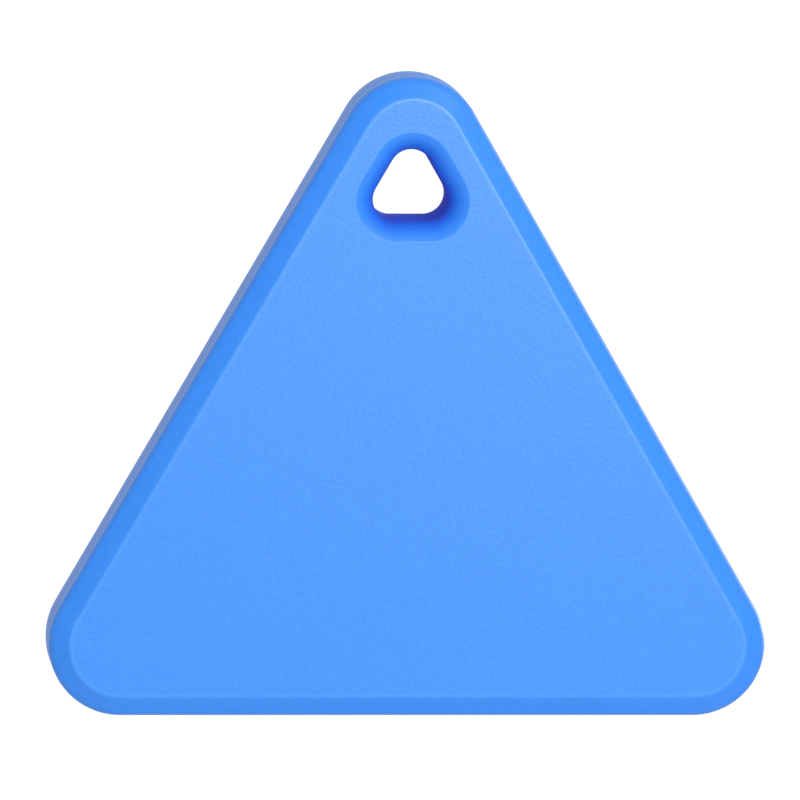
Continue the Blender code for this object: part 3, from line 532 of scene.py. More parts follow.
def shell_plastic(name, dark, light, grain, depth):
    """Moulded plastic with a spark-eroded face, a smoother band along the front crease painted pale as a
    highlight, and a rough bore painted dark as shade.

    The face's grain drives colour, roughness and height, and fades to a trace off the face.
    """
    material, tree, shader = finish_nodes(name)
    where = tree.nodes.new("ShaderNodeTexCoord").outputs["Object"]
    marks = {}
    for mark in ("texture", "crease_highlight", "bore_shade"):
        node = tree.nodes.new("ShaderNodeAttribute")
        node.attribute_name = mark
        marks[mark] = node.outputs["Fac"]
    fine = noise(tree, where, grain, 3.0)
    slow = noise(tree, where, grain * 25, 2.0)
    colour = mixed(tree, ranged(tree, fine, 0.0, 1.0), (*dark, 1.0), (*light, 1.0))
    colour = mixed(tree, scaled(tree, slow, 0.25), colour, (*light, 1.0))
    # Painted highlight along the crease round the front face.
    colour = mixed(tree, scaled(tree, marks["crease_highlight"], HIGHLIGHT_SHARE), colour, (*HIGHLIGHT_BLUE, 1.0))
    # Painted shade: deeper blue deeper down the hole.
    colour = mixed(tree, scaled(tree, marks["bore_shade"], BORE_SHADE_SHARE), colour, (*BORE_SHADE_BLUE, 1.0))
    tree.links.new(colour, shader.inputs["Base Color"])
    face_roughness = ranged(tree, fine, FACE_ROUGHNESS - 0.05, FACE_ROUGHNESS + 0.05)
    highlight_roughness = mixed_value(tree, scaled(tree, marks["crease_highlight"], 1.0), face_roughness, HIGHLIGHT_BAND_ROUGHNESS)
    bored = mixed_value(tree, scaled(tree, marks["bore_shade"], 1.0), highlight_roughness, BORE_ROUGHNESS)
    tree.links.new(bored, shader.inputs["Roughness"])
    bump = tree.nodes.new("ShaderNodeBump")
    bump.inputs["Distance"].default_value = depth
    tree.links.new(ranged(tree, marks["texture"], 0.25, 1.0), bump.inputs["Strength"])
    tree.links.new(fine, bump.inputs["Height"])
    tree.links.new(bump.outputs["Normal"], shader.inputs["Normal"])
    return material


# Case


front_low, front_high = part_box("front_shell")
back_low, back_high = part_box("back_shell")
INRADIUS = (front_high.x - CORNER_RADIUS) / math.sqrt(3) + CORNER_RADIUS
HOLE_INRADIUS = HOLE_SIDE / (2 * math.sqrt(3))
HOLE_RISE = front_high.z - HOLE_DROP - INRADIUS  # middle of the case to the middle of the hole
FRONT_Y = front_low.y
BACK_Y = back_high.y
FRONT_SEAM_Y = front_high.y
BACK_SEAM_Y = FRONT_SEAM_Y + SEAM_GAP
MERGE_ANGLE = 0.0006


def node_middle(node):
    low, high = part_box(node)
    return (low + high) / 2


board_low, board_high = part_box("circuit_board")
BOARD_FRONT_Y = board_low.y
BOARD_BACK_Y = board_high.y
BUZZER_RADIUS = (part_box("buzzer_plate")[1].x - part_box("buzzer_plate")[0].x) / 2
BUZZER_X, _, BUZZER_Z = node_middle("buzzer_plate")
LIGHT_Z = node_middle("light_pipe").z
POST_MARGIN = 0.5 * MM
BOARD_EDGE_GAP = 0.3 * MM
CORNER_X = (INRADIUS - CORNER_RADIUS) * math.sqrt(3)
ANTENNA_REACH = 3.0 * MM
POSTS = (
    (-CORNER_X, CORNER_RADIUS),
    (BUZZER_X - BUZZER_RADIUS - POST_RADIUS - POST_MARGIN, board_low.z + POST_RADIUS + BOARD_EDGE_GAP),
    (-ANTENNA_REACH - POST_RADIUS - POST_MARGIN, board_high.z - POST_RADIUS - POST_MARGIN),
    (ANTENNA_REACH + POST_RADIUS + POST_MARGIN, board_high.z - POST_RADIUS - POST_MARGIN),
)


def case_outlines():
    """The case's outline and the hole's, with one point each along every ray from the hole's middle."""
    origin = np.array([0.0, HOLE_RISE])
    outer_points = rounded(triangle_corners(INRADIUS), CORNER_RADIUS, 28, 30)[0] - origin
    hole_points = rounded(triangle_corners(HOLE_INRADIUS), HOLE_CORNER_RADIUS, 14, 10)[0]
    angles = np.concatenate([np.arctan2(p[:, 1], p[:, 0]) for p in (outer_points, hole_points)])
    angles = np.sort(angles)
    angles = angles[np.diff(angles, prepend=angles[0] - 1) > MERGE_ANGLE]
    outer = ray_outline(origin, INRADIUS, CORNER_RADIUS, angles)
    hole = ray_outline(np.zeros(2), HOLE_INRADIUS, HOLE_CORNER_RADIUS, angles)
    middle = np.array([0.0, INRADIUS])
    return (outer[0] + middle, outer[1]), (hole[0] + middle + origin, hole[1])


def front_section():
    """Round the front shell: side, bevel, face, flare, hole, collar, inside and rebate."""
    inner = FRONT_Y + FACE_WALL
    shoulder = FRONT_SEAM_Y - REBATE_DEPTH
    return section([
        (0.0, FRONT_SEAM_Y, SEAM_ROUND),
        (0.0, FRONT_Y + RIM_DEPTH, SIDE_ROUND),
        (RIM_WIDTH, FRONT_Y, CREASE_ROUND),
        # Extra points on the face where the painted highlight fades out.
        *[(RIM_WIDTH + step * HIGHLIGHT_WIDTH, FRONT_Y, 0.0) for step in (1.6, 2.2, 3.0)],
        (SPAN - FLARE_WIDTH, FRONT_Y, FLARE_ROUND),
        *flare(FRONT_Y, 1),
        (SPAN, FRONT_SEAM_Y, SEAM_ROUND),
        (SPAN - COLLAR_WALL, FRONT_SEAM_Y, SEAM_ROUND),
        (SPAN - COLLAR_WALL, inner, INNER_ROUND),
        (SIDE_WALL, inner, INNER_ROUND),
        (SIDE_WALL, shoulder, LIP_ROUND),
        (REBATE_INSET, shoulder, LIP_ROUND),
        (REBATE_INSET, FRONT_SEAM_Y, SEAM_ROUND),
    ])


def back_section():
    """Round the back shell: side, elliptical round, face, flare, hole, collar, inside and lip.

    The round is an ellipse of BACK_ROUND_WIDTH across and BACK_ROUND_DEPTH deep.
    """
    inner = BACK_Y - FACE_WALL
    turns = np.linspace(0, math.pi / 2, 2 * ARC_STEPS)
    round_across = BACK_ROUND_WIDTH * (1 - np.cos(turns))
    round_level = BACK_Y - BACK_ROUND_DEPTH * (1 - np.sin(turns))
    ellipse = np.stack([round_across, round_level, np.zeros(len(turns))], 1)
    return section([
        (0.0, BACK_SEAM_Y, SEAM_ROUND),
        *ellipse.tolist(),
        (BACK_ROUND_WIDTH + SUPPORT, BACK_Y, 0.0),
        (SPAN - FLARE_WIDTH, BACK_Y, FLARE_ROUND),
        *flare(BACK_Y, -1),
        (SPAN, BACK_SEAM_Y, SEAM_ROUND),
        (SPAN - COLLAR_WALL, BACK_SEAM_Y, SEAM_ROUND),
        (SPAN - COLLAR_WALL, inner, INNER_ROUND),
        (SIDE_WALL + FLOOR_SLOPE, inner, INNER_ROUND),
        (SIDE_WALL, inner - FLOOR_SLOPE, INNER_ROUND),
        (SIDE_WALL, back_low.y, LIP_ROUND),
        (LIP_INSET, back_low.y, LIP_ROUND),
        (LIP_INSET, BACK_SEAM_Y, LIP_ROUND),
    ])


def shell_marks(path, columns, face, direction):
    """Values from 0 to 1 on a shell's points: textured, painted highlight, and painted shade deep in the
    hole.

    texture is 1 on the flat face. The painted highlight is a bell curve of the distance from the face's outer
    edge. The painted shade, which also roughens the bore, grows with the depth below the face near the hole,
    and is 1 on the hole's wall.
    """
    distance, level = path.T
    depth = direction * (level - face)
    flat = (depth < 0.02 * MM) & (distance > RIM_WIDTH) & (distance < SPAN - FLARE_WIDTH)
    # Painted highlight: a bell curve round the crease.
    gap = np.hypot(distance - RIM_WIDTH - 0.05 * MM, level - face) / HIGHLIGHT_WIDTH
    near = (distance > SPAN - COLLAR_WALL / 2) | ((distance > SPAN - FLARE_WIDTH) & (depth < FACE_WALL / 2))
    # Painted shade: grows with the depth into the hole; the same mark also raises the roughness there.
    sunk = np.clip(depth / (1.9 * MM), 0, 1) * near
    marks = {"texture": flat.astype(float), "crease_highlight": np.exp(-gap**2), "bore_shade": sunk}
    return {name: np.repeat(values, columns) for name, values in marks.items()}


def front_shell(material):
    outer, hole = case_outlines()
    path = front_section()
    solid = skin(across_case(outer, hole, path), ring=True)
    marks = shell_marks(path, len(outer[0]), FRONT_Y, 1)
    shell = applied(solid_mesh("front_shell_moulding", solid, marks))
    finished(shell, "lid", material, ["front_shell"])


def fillet_rod(radius, low, face, edge, steps=TURN_STEPS // 2):
    """A cutter for a round hole from low to past the face, with a rounded edge at the face.

    The edge is a quarter circle of radius edge whose centre is edge outside the hole and edge below the
    face, so the hole opens out to radius + edge.
    """
    turns = np.linspace(0, math.pi / 2, ROUND_STEPS + 1)
    lift = 0.0005 * MM  # keeps the cutter's rim off the face's own plane
    arc = np.stack([radius + edge * (1 - np.cos(turns)), face + lift - edge * (1 - np.sin(turns))], 1)
    top = face + 1.0 * MM
    return np.concatenate([[(0.0, low), (radius, low)], arc, [(radius + edge, top), (0.0, top)]]), steps


def back_shell(material):
    """The back shell, with its button, light and sound holes, notch, board posts and buzzer seat."""
    outer, hole = case_outlines()
    path = back_section()
    solid = skin(across_case(outer, hole, path), ring=True)
    marks = shell_marks(path, len(outer[0]), BACK_Y, -1)
    shell = applied(solid_mesh("back_shell_moulding", solid, marks))
    inner = BACK_Y - FACE_WALL
    additions = [skin(spun(post_section(inner), x, z, 40)) for x, z in POSTS]
    seat = section([
        (BUZZER_RADIUS - TOUCH, inner + BITE, 0.0),
        (BUZZER_RADIUS - TOUCH, inner - BUZZER_SEAT_HEIGHT, 0.08 * MM),
        (BUZZER_RADIUS - TOUCH - BUZZER_SEAT_WALL, inner - BUZZER_SEAT_HEIGHT, 0.08 * MM),
        (BUZZER_RADIUS - TOUCH - BUZZER_SEAT_WALL, inner + BITE, 0.0),
    ])
    additions.append(skin(spun(seat, BUZZER_X, BUZZER_Z), ring=True))
    combined(shell, merge(*additions), "UNION")
    low = inner - 0.3 * MM
    path, steps = fillet_rod(BUTTON_RADIUS, low, BACK_Y, HOLE_EDGE_ROUND, TURN_STEPS)
    cutters = [skin(spun(path, 0.0, INRADIUS, steps))]
    path, steps = fillet_rod(LIGHT_RADIUS + TOUCH, low, BACK_Y, 0.1 * MM)
    cutters.append(skin(spun(path, 0.0, LIGHT_Z, steps)))
    ring, _ = ring_outline(SOUND_RING_RADIUS, SOUND_RING_COUNT, BUZZER_X, BUZZER_Z)
    path, steps = fillet_rod(SOUND_HOLE_RADIUS, low, BACK_Y, 0.1 * MM)
    cutters += [skin(spun(path, x, z, steps)) for x, z in [(BUZZER_X, BUZZER_Z), *ring]]
    half = NOTCH_WIDTH / 2
    notch = rounded([(-half, -half), (half, -half), (half, NOTCH_DEPTH), (-half, NOTCH_DEPTH)], 0.35 * MM)
    notch_top = BACK_SEAM_Y + NOTCH_HEIGHT
    notch_path = [(0.0, BACK_SEAM_Y - 1.0 * MM), *section([
        (0.0, BACK_SEAM_Y, 0.0), (0.0, notch_top, 0.2 * MM), (0.4 * MM, notch_top, 0.0)
    ], closed=False)]
    cutters.append(skin(stacked(notch, notch_path)))
    combined(shell, merge(*cutters), "DIFFERENCE")
    finished(shell, "case", material, ["back_shell"], flat_normals=True)


def post_section(inner):
    """A shoulder behind the board, a pin through it, and a melted head in front with a dimple."""
    shoulder = BOARD_BACK_Y + TOUCH
    neck = BOARD_FRONT_Y - TOUCH
    turns = np.linspace(0.15, math.pi / 2 - 0.2, ROUND_STEPS + 2)
    head = np.stack([POST_RADIUS * np.cos(turns), neck - PIN_HEAD_HEIGHT * np.sin(turns)], 1)
    return np.concatenate([
        [(0.0, inner + BITE), (POST_RADIUS, inner + BITE), (POST_RADIUS, shoulder + 0.1 * MM)],
        [(POST_RADIUS - 0.1 * MM, shoulder), (PIN_RADIUS, shoulder), (PIN_RADIUS, neck)],
        [(POST_RADIUS - 0.08 * MM, neck), (POST_RADIUS, neck - 0.04 * MM)],
        head,
        [(0.0, neck - PIN_HEAD_HEIGHT * 0.9)],
    ])


# Shared forms


def rim_path(low, high, edge):
    """From one flat end to the other round the side, with rims of radius edge."""
    return section([(2 * edge, low, 0.0), (0.0, low, edge), (0.0, high, edge), (2 * edge, high, 0.0)],
                   closed=False, support=0.1 * edge)


def rectangle(x, z, width, length, corner):
    half = np.array([width, length]) / 2
    signs = np.array([(-1, -1), (1, -1), (1, 1), (-1, 1)])
    return rounded(np.array([x, z]) + signs * half, corner, 5)


def block(low, high, corner, edge):
    """A box with upright edges of radius corner and rims of radius edge, between two corners."""
    outline = rectangle((low.x + high.x) / 2, (low.z + high.z) / 2, high.x - low.x, high.z - low.z, corner)
    return skin(stacked(outline, rim_path(low.y, high.y, edge)))


def disc_solid(radius, low, high, edge, x=0.0, z=None, steps=TURN_STEPS):
    """A flat disc with rims of radius edge, turned about its axis."""
    path = section([(0.0, low, 0.0), (radius, low, edge), (radius, high, edge), (0.0, high, 0.0)],
                   closed=False, support=0.1 * edge)
    return skin(spun(path, x, INRADIUS if z is None else z, steps))


def dome_solid(radius, base, height, x, z, steps=24):
    """A drop of solder: a quarter ellipse turned about its axis, standing on the level base."""
    turns = np.linspace(0, math.pi / 2, 8)
    path = np.stack([radius * np.cos(turns), base + height * np.sin(turns)], 1)
    return skin(spun(np.concatenate([[(0.0, base)], path]), x, z, steps))


def turned_piece(name, corners, body, material, replaced, x=0.0, z=None, steps=TURN_STEPS,
                 support=SUPPORT):
    """A solid of revolution from (radius, level, rounding) corners that start and end on the axis."""
    path = section(corners, closed=False, support=support)
    solid = skin(spun(path, x, INRADIUS if z is None else z, steps))
    return piece_of(name, solid, body, material, replaced)


def node_disc(node, edge, body, material):
    """A disc with rounded rims in place of a disc node."""
    low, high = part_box(node)
    middle = (low + high) / 2
    solid = disc_solid((high.x - low.x) / 2, low.y, high.y, edge, middle.x, middle.z)
    return piece_of(node + "_disc", solid, body, material, [node])


# Coin cell

CAN_SHEET = 0.25 * MM
CAN_ROUND = 0.3 * MM
CRIMP_REACH = 0.55 * MM
PLUS_SIZE = 3.2 * MM
PLUS_LINE = 0.55 * MM
PLUS_DEPTH = 0.12 * MM


def coin_cell(finish):
    low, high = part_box("battery_can")
    cap_low, cap_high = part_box("battery_cap")
    radius = (high.x - low.x) / 2
    inner = radius - CAN_SHEET
    thin = 0.05 * MM
    can = turned_piece("battery_can_cup", [
        (0.0, low.y + CAN_SHEET, 0.0),
        (inner, low.y + CAN_SHEET, CAN_SHEET),
        (inner, high.y - CAN_SHEET, 0.15 * MM),
        (inner - CRIMP_REACH, high.y - CAN_SHEET, thin),
        (inner - CRIMP_REACH, high.y, thin),
        (radius, high.y, CAN_ROUND),
        (radius, low.y, 1.5 * CAN_ROUND),
        (radius - 1.3 * MM, low.y, 0.0),
        (radius - 1.4 * MM, low.y + thin, 0.0),
        (0.0, low.y + thin, 0.0),
    ], "battery", finish["battery_steel"], ["battery_can"])
    half = PLUS_SIZE / 2
    line = PLUS_LINE / 2
    plus = [(-line, -half), (line, -half), (line, -line), (half, -line), (half, line), (line, line),
            (line, half), (-line, half), (-line, line), (-half, line), (-half, -line), (-line, -line)]
    outline = rounded(np.array(plus) + (0.0, INRADIUS), 0.1 * MM, 4)
    levels = [(0.0, low.y - 1.0 * MM), (0.0, low.y + thin + PLUS_DEPTH)]
    cut(can, skin(stacked(outline, levels)))
    cap_radius = (cap_high.x - cap_low.x) / 2
    turned_piece("battery_cap_cup", [
        (0.0, cap_high.y, 0.0),
        (cap_radius, cap_high.y, 0.2 * MM),
        (cap_radius, cap_low.y, thin),
        (cap_radius - CAN_SHEET, cap_low.y, thin),
        (cap_radius - CAN_SHEET, cap_high.y - CAN_SHEET, 0.1 * MM),
        (0.0, cap_high.y - CAN_SHEET, 0.0),
    ], "battery", finish["battery_nickel"], ["battery_cap"])
    cell_gasket(cap_radius + TOUCH, finish)
    node_disc("lithium_disc", 0.06 * MM, "battery", finish["lithium_metal"])
    node_disc("battery_separator", 0.02 * MM, "battery", finish["separator_felt"])
    node_disc("cathode_pellet", 0.15 * MM, "battery", finish["cathode_paste"])


def cell_gasket(ring_inner, finish):
    """The seal between the can and the cap, with a foot under the cap's rim."""
    gasket_low, gasket_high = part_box("battery_gasket")
    thin = 0.05 * MM
    ring_outer = (gasket_high.x - gasket_low.x) / 2
    foot = ring_inner - 0.4 * MM
    gasket = section([
        (ring_inner, gasket_high.y, thin),
        (ring_outer, gasket_high.y, 0.2 * MM),
        (ring_outer, gasket_low.y, 0.1 * MM),
        (foot, gasket_low.y, thin),
        (foot, gasket_low.y + CAN_SHEET, thin),
        (ring_inner, gasket_low.y + CAN_SHEET, thin),
    ])
    solid = skin(spun(gasket, 0.0, INRADIUS), ring=True)
    plastic = finish["gasket_plastic"]
    piece_of("battery_gasket_ring", solid, "battery", plastic, ["battery_gasket"])


# Button, light and switch

BUTTON_GAP = 0.12 * MM
BUTTON_DISH = 0.25 * MM
DISH_SHARE = 0.82
BUTTON_SKIN = 0.9 * MM
FLANGE_THICKNESS = 0.5 * MM
BOSS_RADIUS = 1.6 * MM


def button(finish):
    """A dished cap: the dish is a parabola, BUTTON_DISH deep, out to DISH_SHARE of the radius."""
    low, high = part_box("button_cap")
    radius = BUTTON_RADIUS - BUTTON_GAP
    flange_radius = (high.x - low.x) / 2
    flange_back = BACK_Y - FACE_WALL - TOUCH
    wall = radius - 0.8 * MM
    share = np.linspace(0, 1, 16)
    dish = np.stack([radius * DISH_SHARE * share, high.y - BUTTON_DISH * (1 - share**2), 0 * share], 1)
    small = 0.08 * MM
    turned_piece("button_cap_moulding", [
        *dish.tolist(),
        (radius, high.y, 0.25 * MM),
        (radius, flange_back, small),
        (flange_radius, flange_back, small),
        (flange_radius, flange_back - FLANGE_THICKNESS, small),
        (wall, flange_back - FLANGE_THICKNESS, small),
        (wall, high.y - BUTTON_SKIN, 0.25 * MM),
        (BOSS_RADIUS, high.y - BUTTON_SKIN, 0.25 * MM),
        (BOSS_RADIUS, low.y, small),
        (0.0, low.y, 0.0),
    ], "button", finish["button_blue"], ["button_cap"])


def light(finish):
    low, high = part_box("light_pipe")
    rim = (high.x - low.x) / 2
    rim_back = BACK_Y - FACE_WALL - TOUCH
    rim_front = rim_back - 0.3 * MM
    thin = 0.04 * MM
    turned_piece("light_pipe_rod", [
        (0.0, high.y, 0.0),
        (LIGHT_RADIUS, high.y, 0.12 * MM),
        (LIGHT_RADIUS, rim_back, thin),
        (rim, rim_back, thin),
        (rim, rim_front, thin),
        (LIGHT_RADIUS, rim_front, thin),
        (LIGHT_RADIUS, low.y, thin),
        (0.0, low.y, 0.0),
    ], "case", finish["clear_plastic"], ["light_pipe"], z=LIGHT_Z, steps=48,
        support=FINE_SUPPORT)
    block_node("led_body", 0.1 * MM, 0.03 * MM, "case", finish["led_plastic"])
    block_node("led_lens", 0.3 * MM, 0.06 * MM, "case", finish["led_resin"])
    body_low, body_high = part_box("led_body")
    for number, z in enumerate((body_low.z, body_high.z), 1):
        solder(f"led_joint_{number}", (0.0, z), 0.45 * MM, 0.2 * MM, finish)


def block_node(node, corner, edge, body, material):
    """A block with rounded corners and rims in place of a box node."""
    low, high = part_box(node)
    return piece_of(node + "_block", block(low, high, corner, edge), body, material, [node])


def solder(name, place, radius, height, finish, base=None):
    """A drop of solder on the back of the board, or on its own base."""
    solid = dome_solid(radius, BOARD_BACK_Y if base is None else base, height, *place)
    return piece_of(name, solid, "case", finish["solder"])


def push_switch(finish):
    """The body with its well, the cover with its hole, the snap dome, the plunger and the terminals."""
    body = block_node("switch_body", 0.3 * MM, 0.05 * MM, "case", finish["switch_plastic"])
    _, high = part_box("switch_body")
    dome_low, dome_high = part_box("switch_dome")
    dome_radius = (dome_high.x - dome_low.x) / 2
    well = disc_solid(dome_radius + 2 * TOUCH, dome_low.y - TOUCH, high.y + 1.0 * MM, 0.05 * MM)
    cut(body, well)
    cover = block_node("switch_cover", 0.25 * MM, 0.02 * MM, "case", finish["spring_steel"])
    cover_low, cover_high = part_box("switch_cover")
    plunger_low, plunger_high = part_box("switch_plunger")
    plunger_radius = (plunger_high.x - plunger_low.x) / 2 - 0.35 * MM
    opening = disc_solid(plunger_radius + 2 * TOUCH, cover_low.y - 1.0 * MM, cover_high.y + 1.0 * MM,
                         0.05 * MM)
    cut(cover, opening)
    share = np.linspace(0, 1, 14)
    sheet = 0.06 * MM
    rise = dome_high.y - dome_low.y - sheet
    upper = np.stack([dome_radius * share, dome_low.y + sheet + rise * (1 - share**2)], 1)
    lower = np.stack([dome_radius * share, dome_low.y + rise * (1 - share**2)], 1)[::-1]
    dome = skin(spun(np.concatenate([upper, lower]), 0.0, INRADIUS, 64))
    piece_of("switch_dome_spring", dome, "case", finish["spring_steel"], ["switch_dome"])
    shoulder = high.y - TOUCH
    edge = 0.05 * MM
    turned_piece("switch_plunger_pin", [
        (0.0, plunger_high.y, 0.0),
        (plunger_radius, plunger_high.y, 2 * edge),
        (plunger_radius, shoulder, edge / 2),
        ((plunger_high.x - plunger_low.x) / 2, shoulder, edge / 2),
        ((plunger_high.x - plunger_low.x) / 2, plunger_low.y, edge / 2),
        (0.0, plunger_low.y, 0.0),
    ], "plunger", finish["plunger_plastic"], ["switch_plunger"], steps=48,
        support=FINE_SUPPORT)
    for number in range(1, 5):
        node = f"switch_terminal_{number}"
        block_node(node, 0.1 * MM, 0.02 * MM, "case", finish["contact_nickel"])
        middle = node_middle(node)
        solder(f"terminal_joint_{number}", (middle.x, middle.z), 0.42 * MM, 0.2 * MM, finish)


# Circuit board and contacts

HOLDER_INNER = 10.3 * MM
HOLDER_OUTER = 11.5 * MM
HOLDER_OPENING = math.radians(56)
TEST_PADS_X = np.array([-14.4, -12.6, 10.6, 12.4, 14.2]) * MM
TEST_PADS_Z = 3.0 * MM
PAD_LINE_Z = 4.15 * MM
VIA_INSET = 0.9 * MM
BOARD_INSET = 1.7 * MM
BOARD_TOP_RADIUS = 1.0 * MM
PIN_HOLE_RADIUS = 0.8 * MM
INK = 0.015 * MM
TRACK_HALF = 0.11 * MM
LANES = 4
LANE_PITCH = 0.55 * MM
BUS_X = 17.6 * MM
BUS_FOOT = 2.7 * MM
BUS_BEND = 4.6 * MM
BUS_HEIGHT = 9.6 * MM
BUS_END = 10.2 * MM


def circuit_board(finish):
    inradius = INRADIUS - BOARD_INSET
    half = inradius * math.sqrt(3)
    top = board_high.z
    top_half = (3 * inradius + BOARD_INSET - top) / math.sqrt(3)
    corners = [(-half, BOARD_INSET), (half, BOARD_INSET), (top_half, top), (-top_half, top)]
    foot = CORNER_RADIUS - BOARD_INSET
    outline = rounded(corners, (foot, foot, BOARD_TOP_RADIUS, BOARD_TOP_RADIUS), 16)
    solid = skin(stacked(outline, rim_path(BOARD_FRONT_Y, BOARD_BACK_Y, 0.04 * MM)))
    board = applied(solid_mesh("circuit_board_laminate", solid))
    reach = (BOARD_FRONT_Y - 1.0 * MM, BOARD_BACK_Y + 1.0 * MM)
    holes = [disc_solid(PIN_HOLE_RADIUS, *reach, 0.1 * MM, x, z, 32) for x, z in POSTS]
    combined(board, merge(*holes), "DIFFERENCE")
    finished(board, "case", finish["board_laminate"], ["circuit_board"])
    board_print(finish, inradius)


def ribbon(path, half, low, high):
    """A flat line of even width along a path of (x, z, rounding) corners, between two levels."""
    return strip(section(path, closed=False, support=0.02 * MM), half, low, high)


def board_print(finish, inradius):
    """Tracks, test pads, stitching vias and white lines on the front of the board."""
    front = BOARD_FRONT_Y
    piece_of("board_tracks", merge(*board_tracks()), "case", finish["mask_track"])
    pads = [disc_solid(0.55 * MM, front - 2 * INK, front + INK, 0.01 * MM, x, TEST_PADS_Z, 32)
            for x in TEST_PADS_X]
    piece_of("test_pads", merge(*pads), "case", finish["gold_pad"])
    vias = [disc_solid(0.2 * MM, front - INK, front + INK, 0.005 * MM, x, z, 12)
            for x, z in via_places(inradius)]
    piece_of("board_vias", merge(*vias), "case", finish["gold_pad"])
    piece_of("board_ink", merge(*white_lines()), "case", finish["white_ink"])


def printed(path, half):
    return ribbon(path, half, BOARD_FRONT_Y - INK, BOARD_FRONT_Y + INK)


def board_tracks():
    """Tracks that run in lanes up from each lower corner, and four short ones at the top.

    The lanes slant inwards at 45 degrees and level out towards the battery holder. Each lane is one pitch
    inside the last all the way: the slanting part of a lane is the line where x + z is BUS_X + BUS_BEND
    less the square root of 2 times its shift.
    """
    tracks = []
    for side in (-1, 1):
        for lane in range(LANES):
            shift = lane * LANE_PITCH
            x = BUS_X - shift
            turn = BUS_X + BUS_BEND - math.sqrt(2) * shift
            height = BUS_HEIGHT - shift
            tracks.append(printed([
                (side * x, BUS_FOOT, 0.0),
                (side * x, turn - x, 0.3 * MM),
                (side * (turn - height), height, 0.3 * MM),
                (side * BUS_END, height, 0.0),
            ], TRACK_HALF))
    for lane in (-2, -1, 1, 2):
        x = lane * 0.9 * MM
        path = [(x, board_high.z - 1.6 * MM, 0.0), (x, 30.4 * MM, 0.3 * MM), (1.7 * x, 28.4 * MM, 0.0)]
        tracks.append(printed(path, TRACK_HALF))
    return tracks


def via_places(inradius):
    """Points along the board's outline, VIA_INSET inside its edge, clear of the posts and the top edge."""
    corner = CORNER_RADIUS - BOARD_INSET - VIA_INSET
    outline = rounded(triangle_corners(inradius - VIA_INSET), corner, 6, 16)[0] + (0.0, INRADIUS)
    outline = outline[outline[:, 1] < board_high.z - 1.2 * MM]
    gaps = np.linalg.norm(outline[:, None] - np.array(POSTS), axis=2).min(1)
    return outline[gaps > 1.7 * MM]


def white_lines():
    """A line above each test pad, a ring round each post, and a short line near the board's foot."""
    line = 0.08 * MM
    levels = [(0.0, BOARD_FRONT_Y - INK), (2 * line, BOARD_FRONT_Y - INK),
              (2 * line, BOARD_FRONT_Y + INK), (0.0, BOARD_FRONT_Y + INK)]
    lines = [printed([(x - 0.9 * MM, PAD_LINE_Z, 0.0), (x + 0.9 * MM, PAD_LINE_Z, 0.0)], line)
             for x in TEST_PADS_X]
    lines += [skin(stacked(ring_outline(1.75 * MM, 48, x, z), levels), ring=True) for x, z in POSTS]
    lines.append(printed([(-0.7 * MM, 4.6 * MM, 0.0), (0.7 * MM, 4.6 * MM, 0.0)], line))
    return lines


def battery_holder(finish):
    """A ring round the cell, open at the foot for the positive contact."""
    low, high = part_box("battery_holder")
    start = (HOLDER_OPENING - math.pi) / 2
    stop = (3 * math.pi - HOLDER_OPENING) / 2
    outline, normals = arc_band(HOLDER_INNER, HOLDER_OUTER, start, stop, 128)
    outline = outline + np.array([0.0, INRADIUS])
    solid = skin(stacked((outline, normals), rim_path(low.y, high.y, 0.15 * MM)))
    plastic = finish["holder_plastic"]
    piece_of("battery_holder_ring", solid, "case", plastic, ["battery_holder"])


def sheet_spring(node, path, sheet, finish):
    """A bent strip of sheet metal: a band along its side view, carried across its width."""
    low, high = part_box(node)
    middle = section(path, closed=False, support=0.05 * MM)
    solid = strip(middle, sheet / 2, low.x, high.x, axis="x")
    return piece_of(node + "_strip", solid, "case", finish["contact_nickel"], [node])


def contacts(finish):
    low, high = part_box("positive_contact")
    sheet = 0.25 * MM
    foot = high.y - sheet / 2
    press = high.z - sheet / 2 - 0.02 * MM
    sheet_spring("positive_contact", [
        (foot, low.z, 0.0),
        (foot, press - 0.6 * MM, 0.45 * MM),
        (low.y + 0.85 * MM, press, 0.3 * MM),
        (low.y + 0.2 * MM, press - 0.35 * MM, 0.0),
    ], sheet, finish)
    solder_pad = skin(stacked(rectangle(0.0, low.z + 0.9 * MM, 5.8 * MM, 2.4 * MM, 0.4 * MM),
                              [(0.0, BOARD_FRONT_Y), (0.1 * MM, BOARD_FRONT_Y - 0.06 * MM)]))
    piece_of("positive_contact_joint", solder_pad, "case", finish["solder"])
    low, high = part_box("negative_contact")
    sheet = 0.12 * MM
    near = high.y - sheet / 2
    far = low.y + sheet / 2
    bend = 0.3 * MM
    sheet_spring("negative_contact", [
        (near, low.z, 0.0),
        (near, low.z + 1.5 * MM, bend),
        (far, low.z + 4.0 * MM, bend),
        (far, high.z - 4.0 * MM, bend),
        (near, high.z - 1.5 * MM, bend),
        (near, high.z, 0.0),
    ], sheet, finish)


# Radio, small parts and buzzer

END_SHARE = 0.24


def chip_with_ends(node, body_finish, finish):
    """A small two-ended part: a body, and a metal end standing slightly proud at each side."""
    low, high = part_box(node)
    end = (high.x - low.x) * END_SHARE
    shy = Vector((0.02 * MM, 0.02 * MM, 0.02 * MM))
    body = block(low + shy, high - shy, 0.05 * MM, 0.02 * MM)
    piece_of(node + "_body", body, "case", body_finish, [node])
    ends = [block(low, Vector((low.x + end, high.y, high.z)), 0.06 * MM, 0.025 * MM),
            block(Vector((high.x - end, low.y, low.z)), high, 0.06 * MM, 0.025 * MM)]
    piece_of(node + "_ends", merge(*ends), "case", finish["solder"])


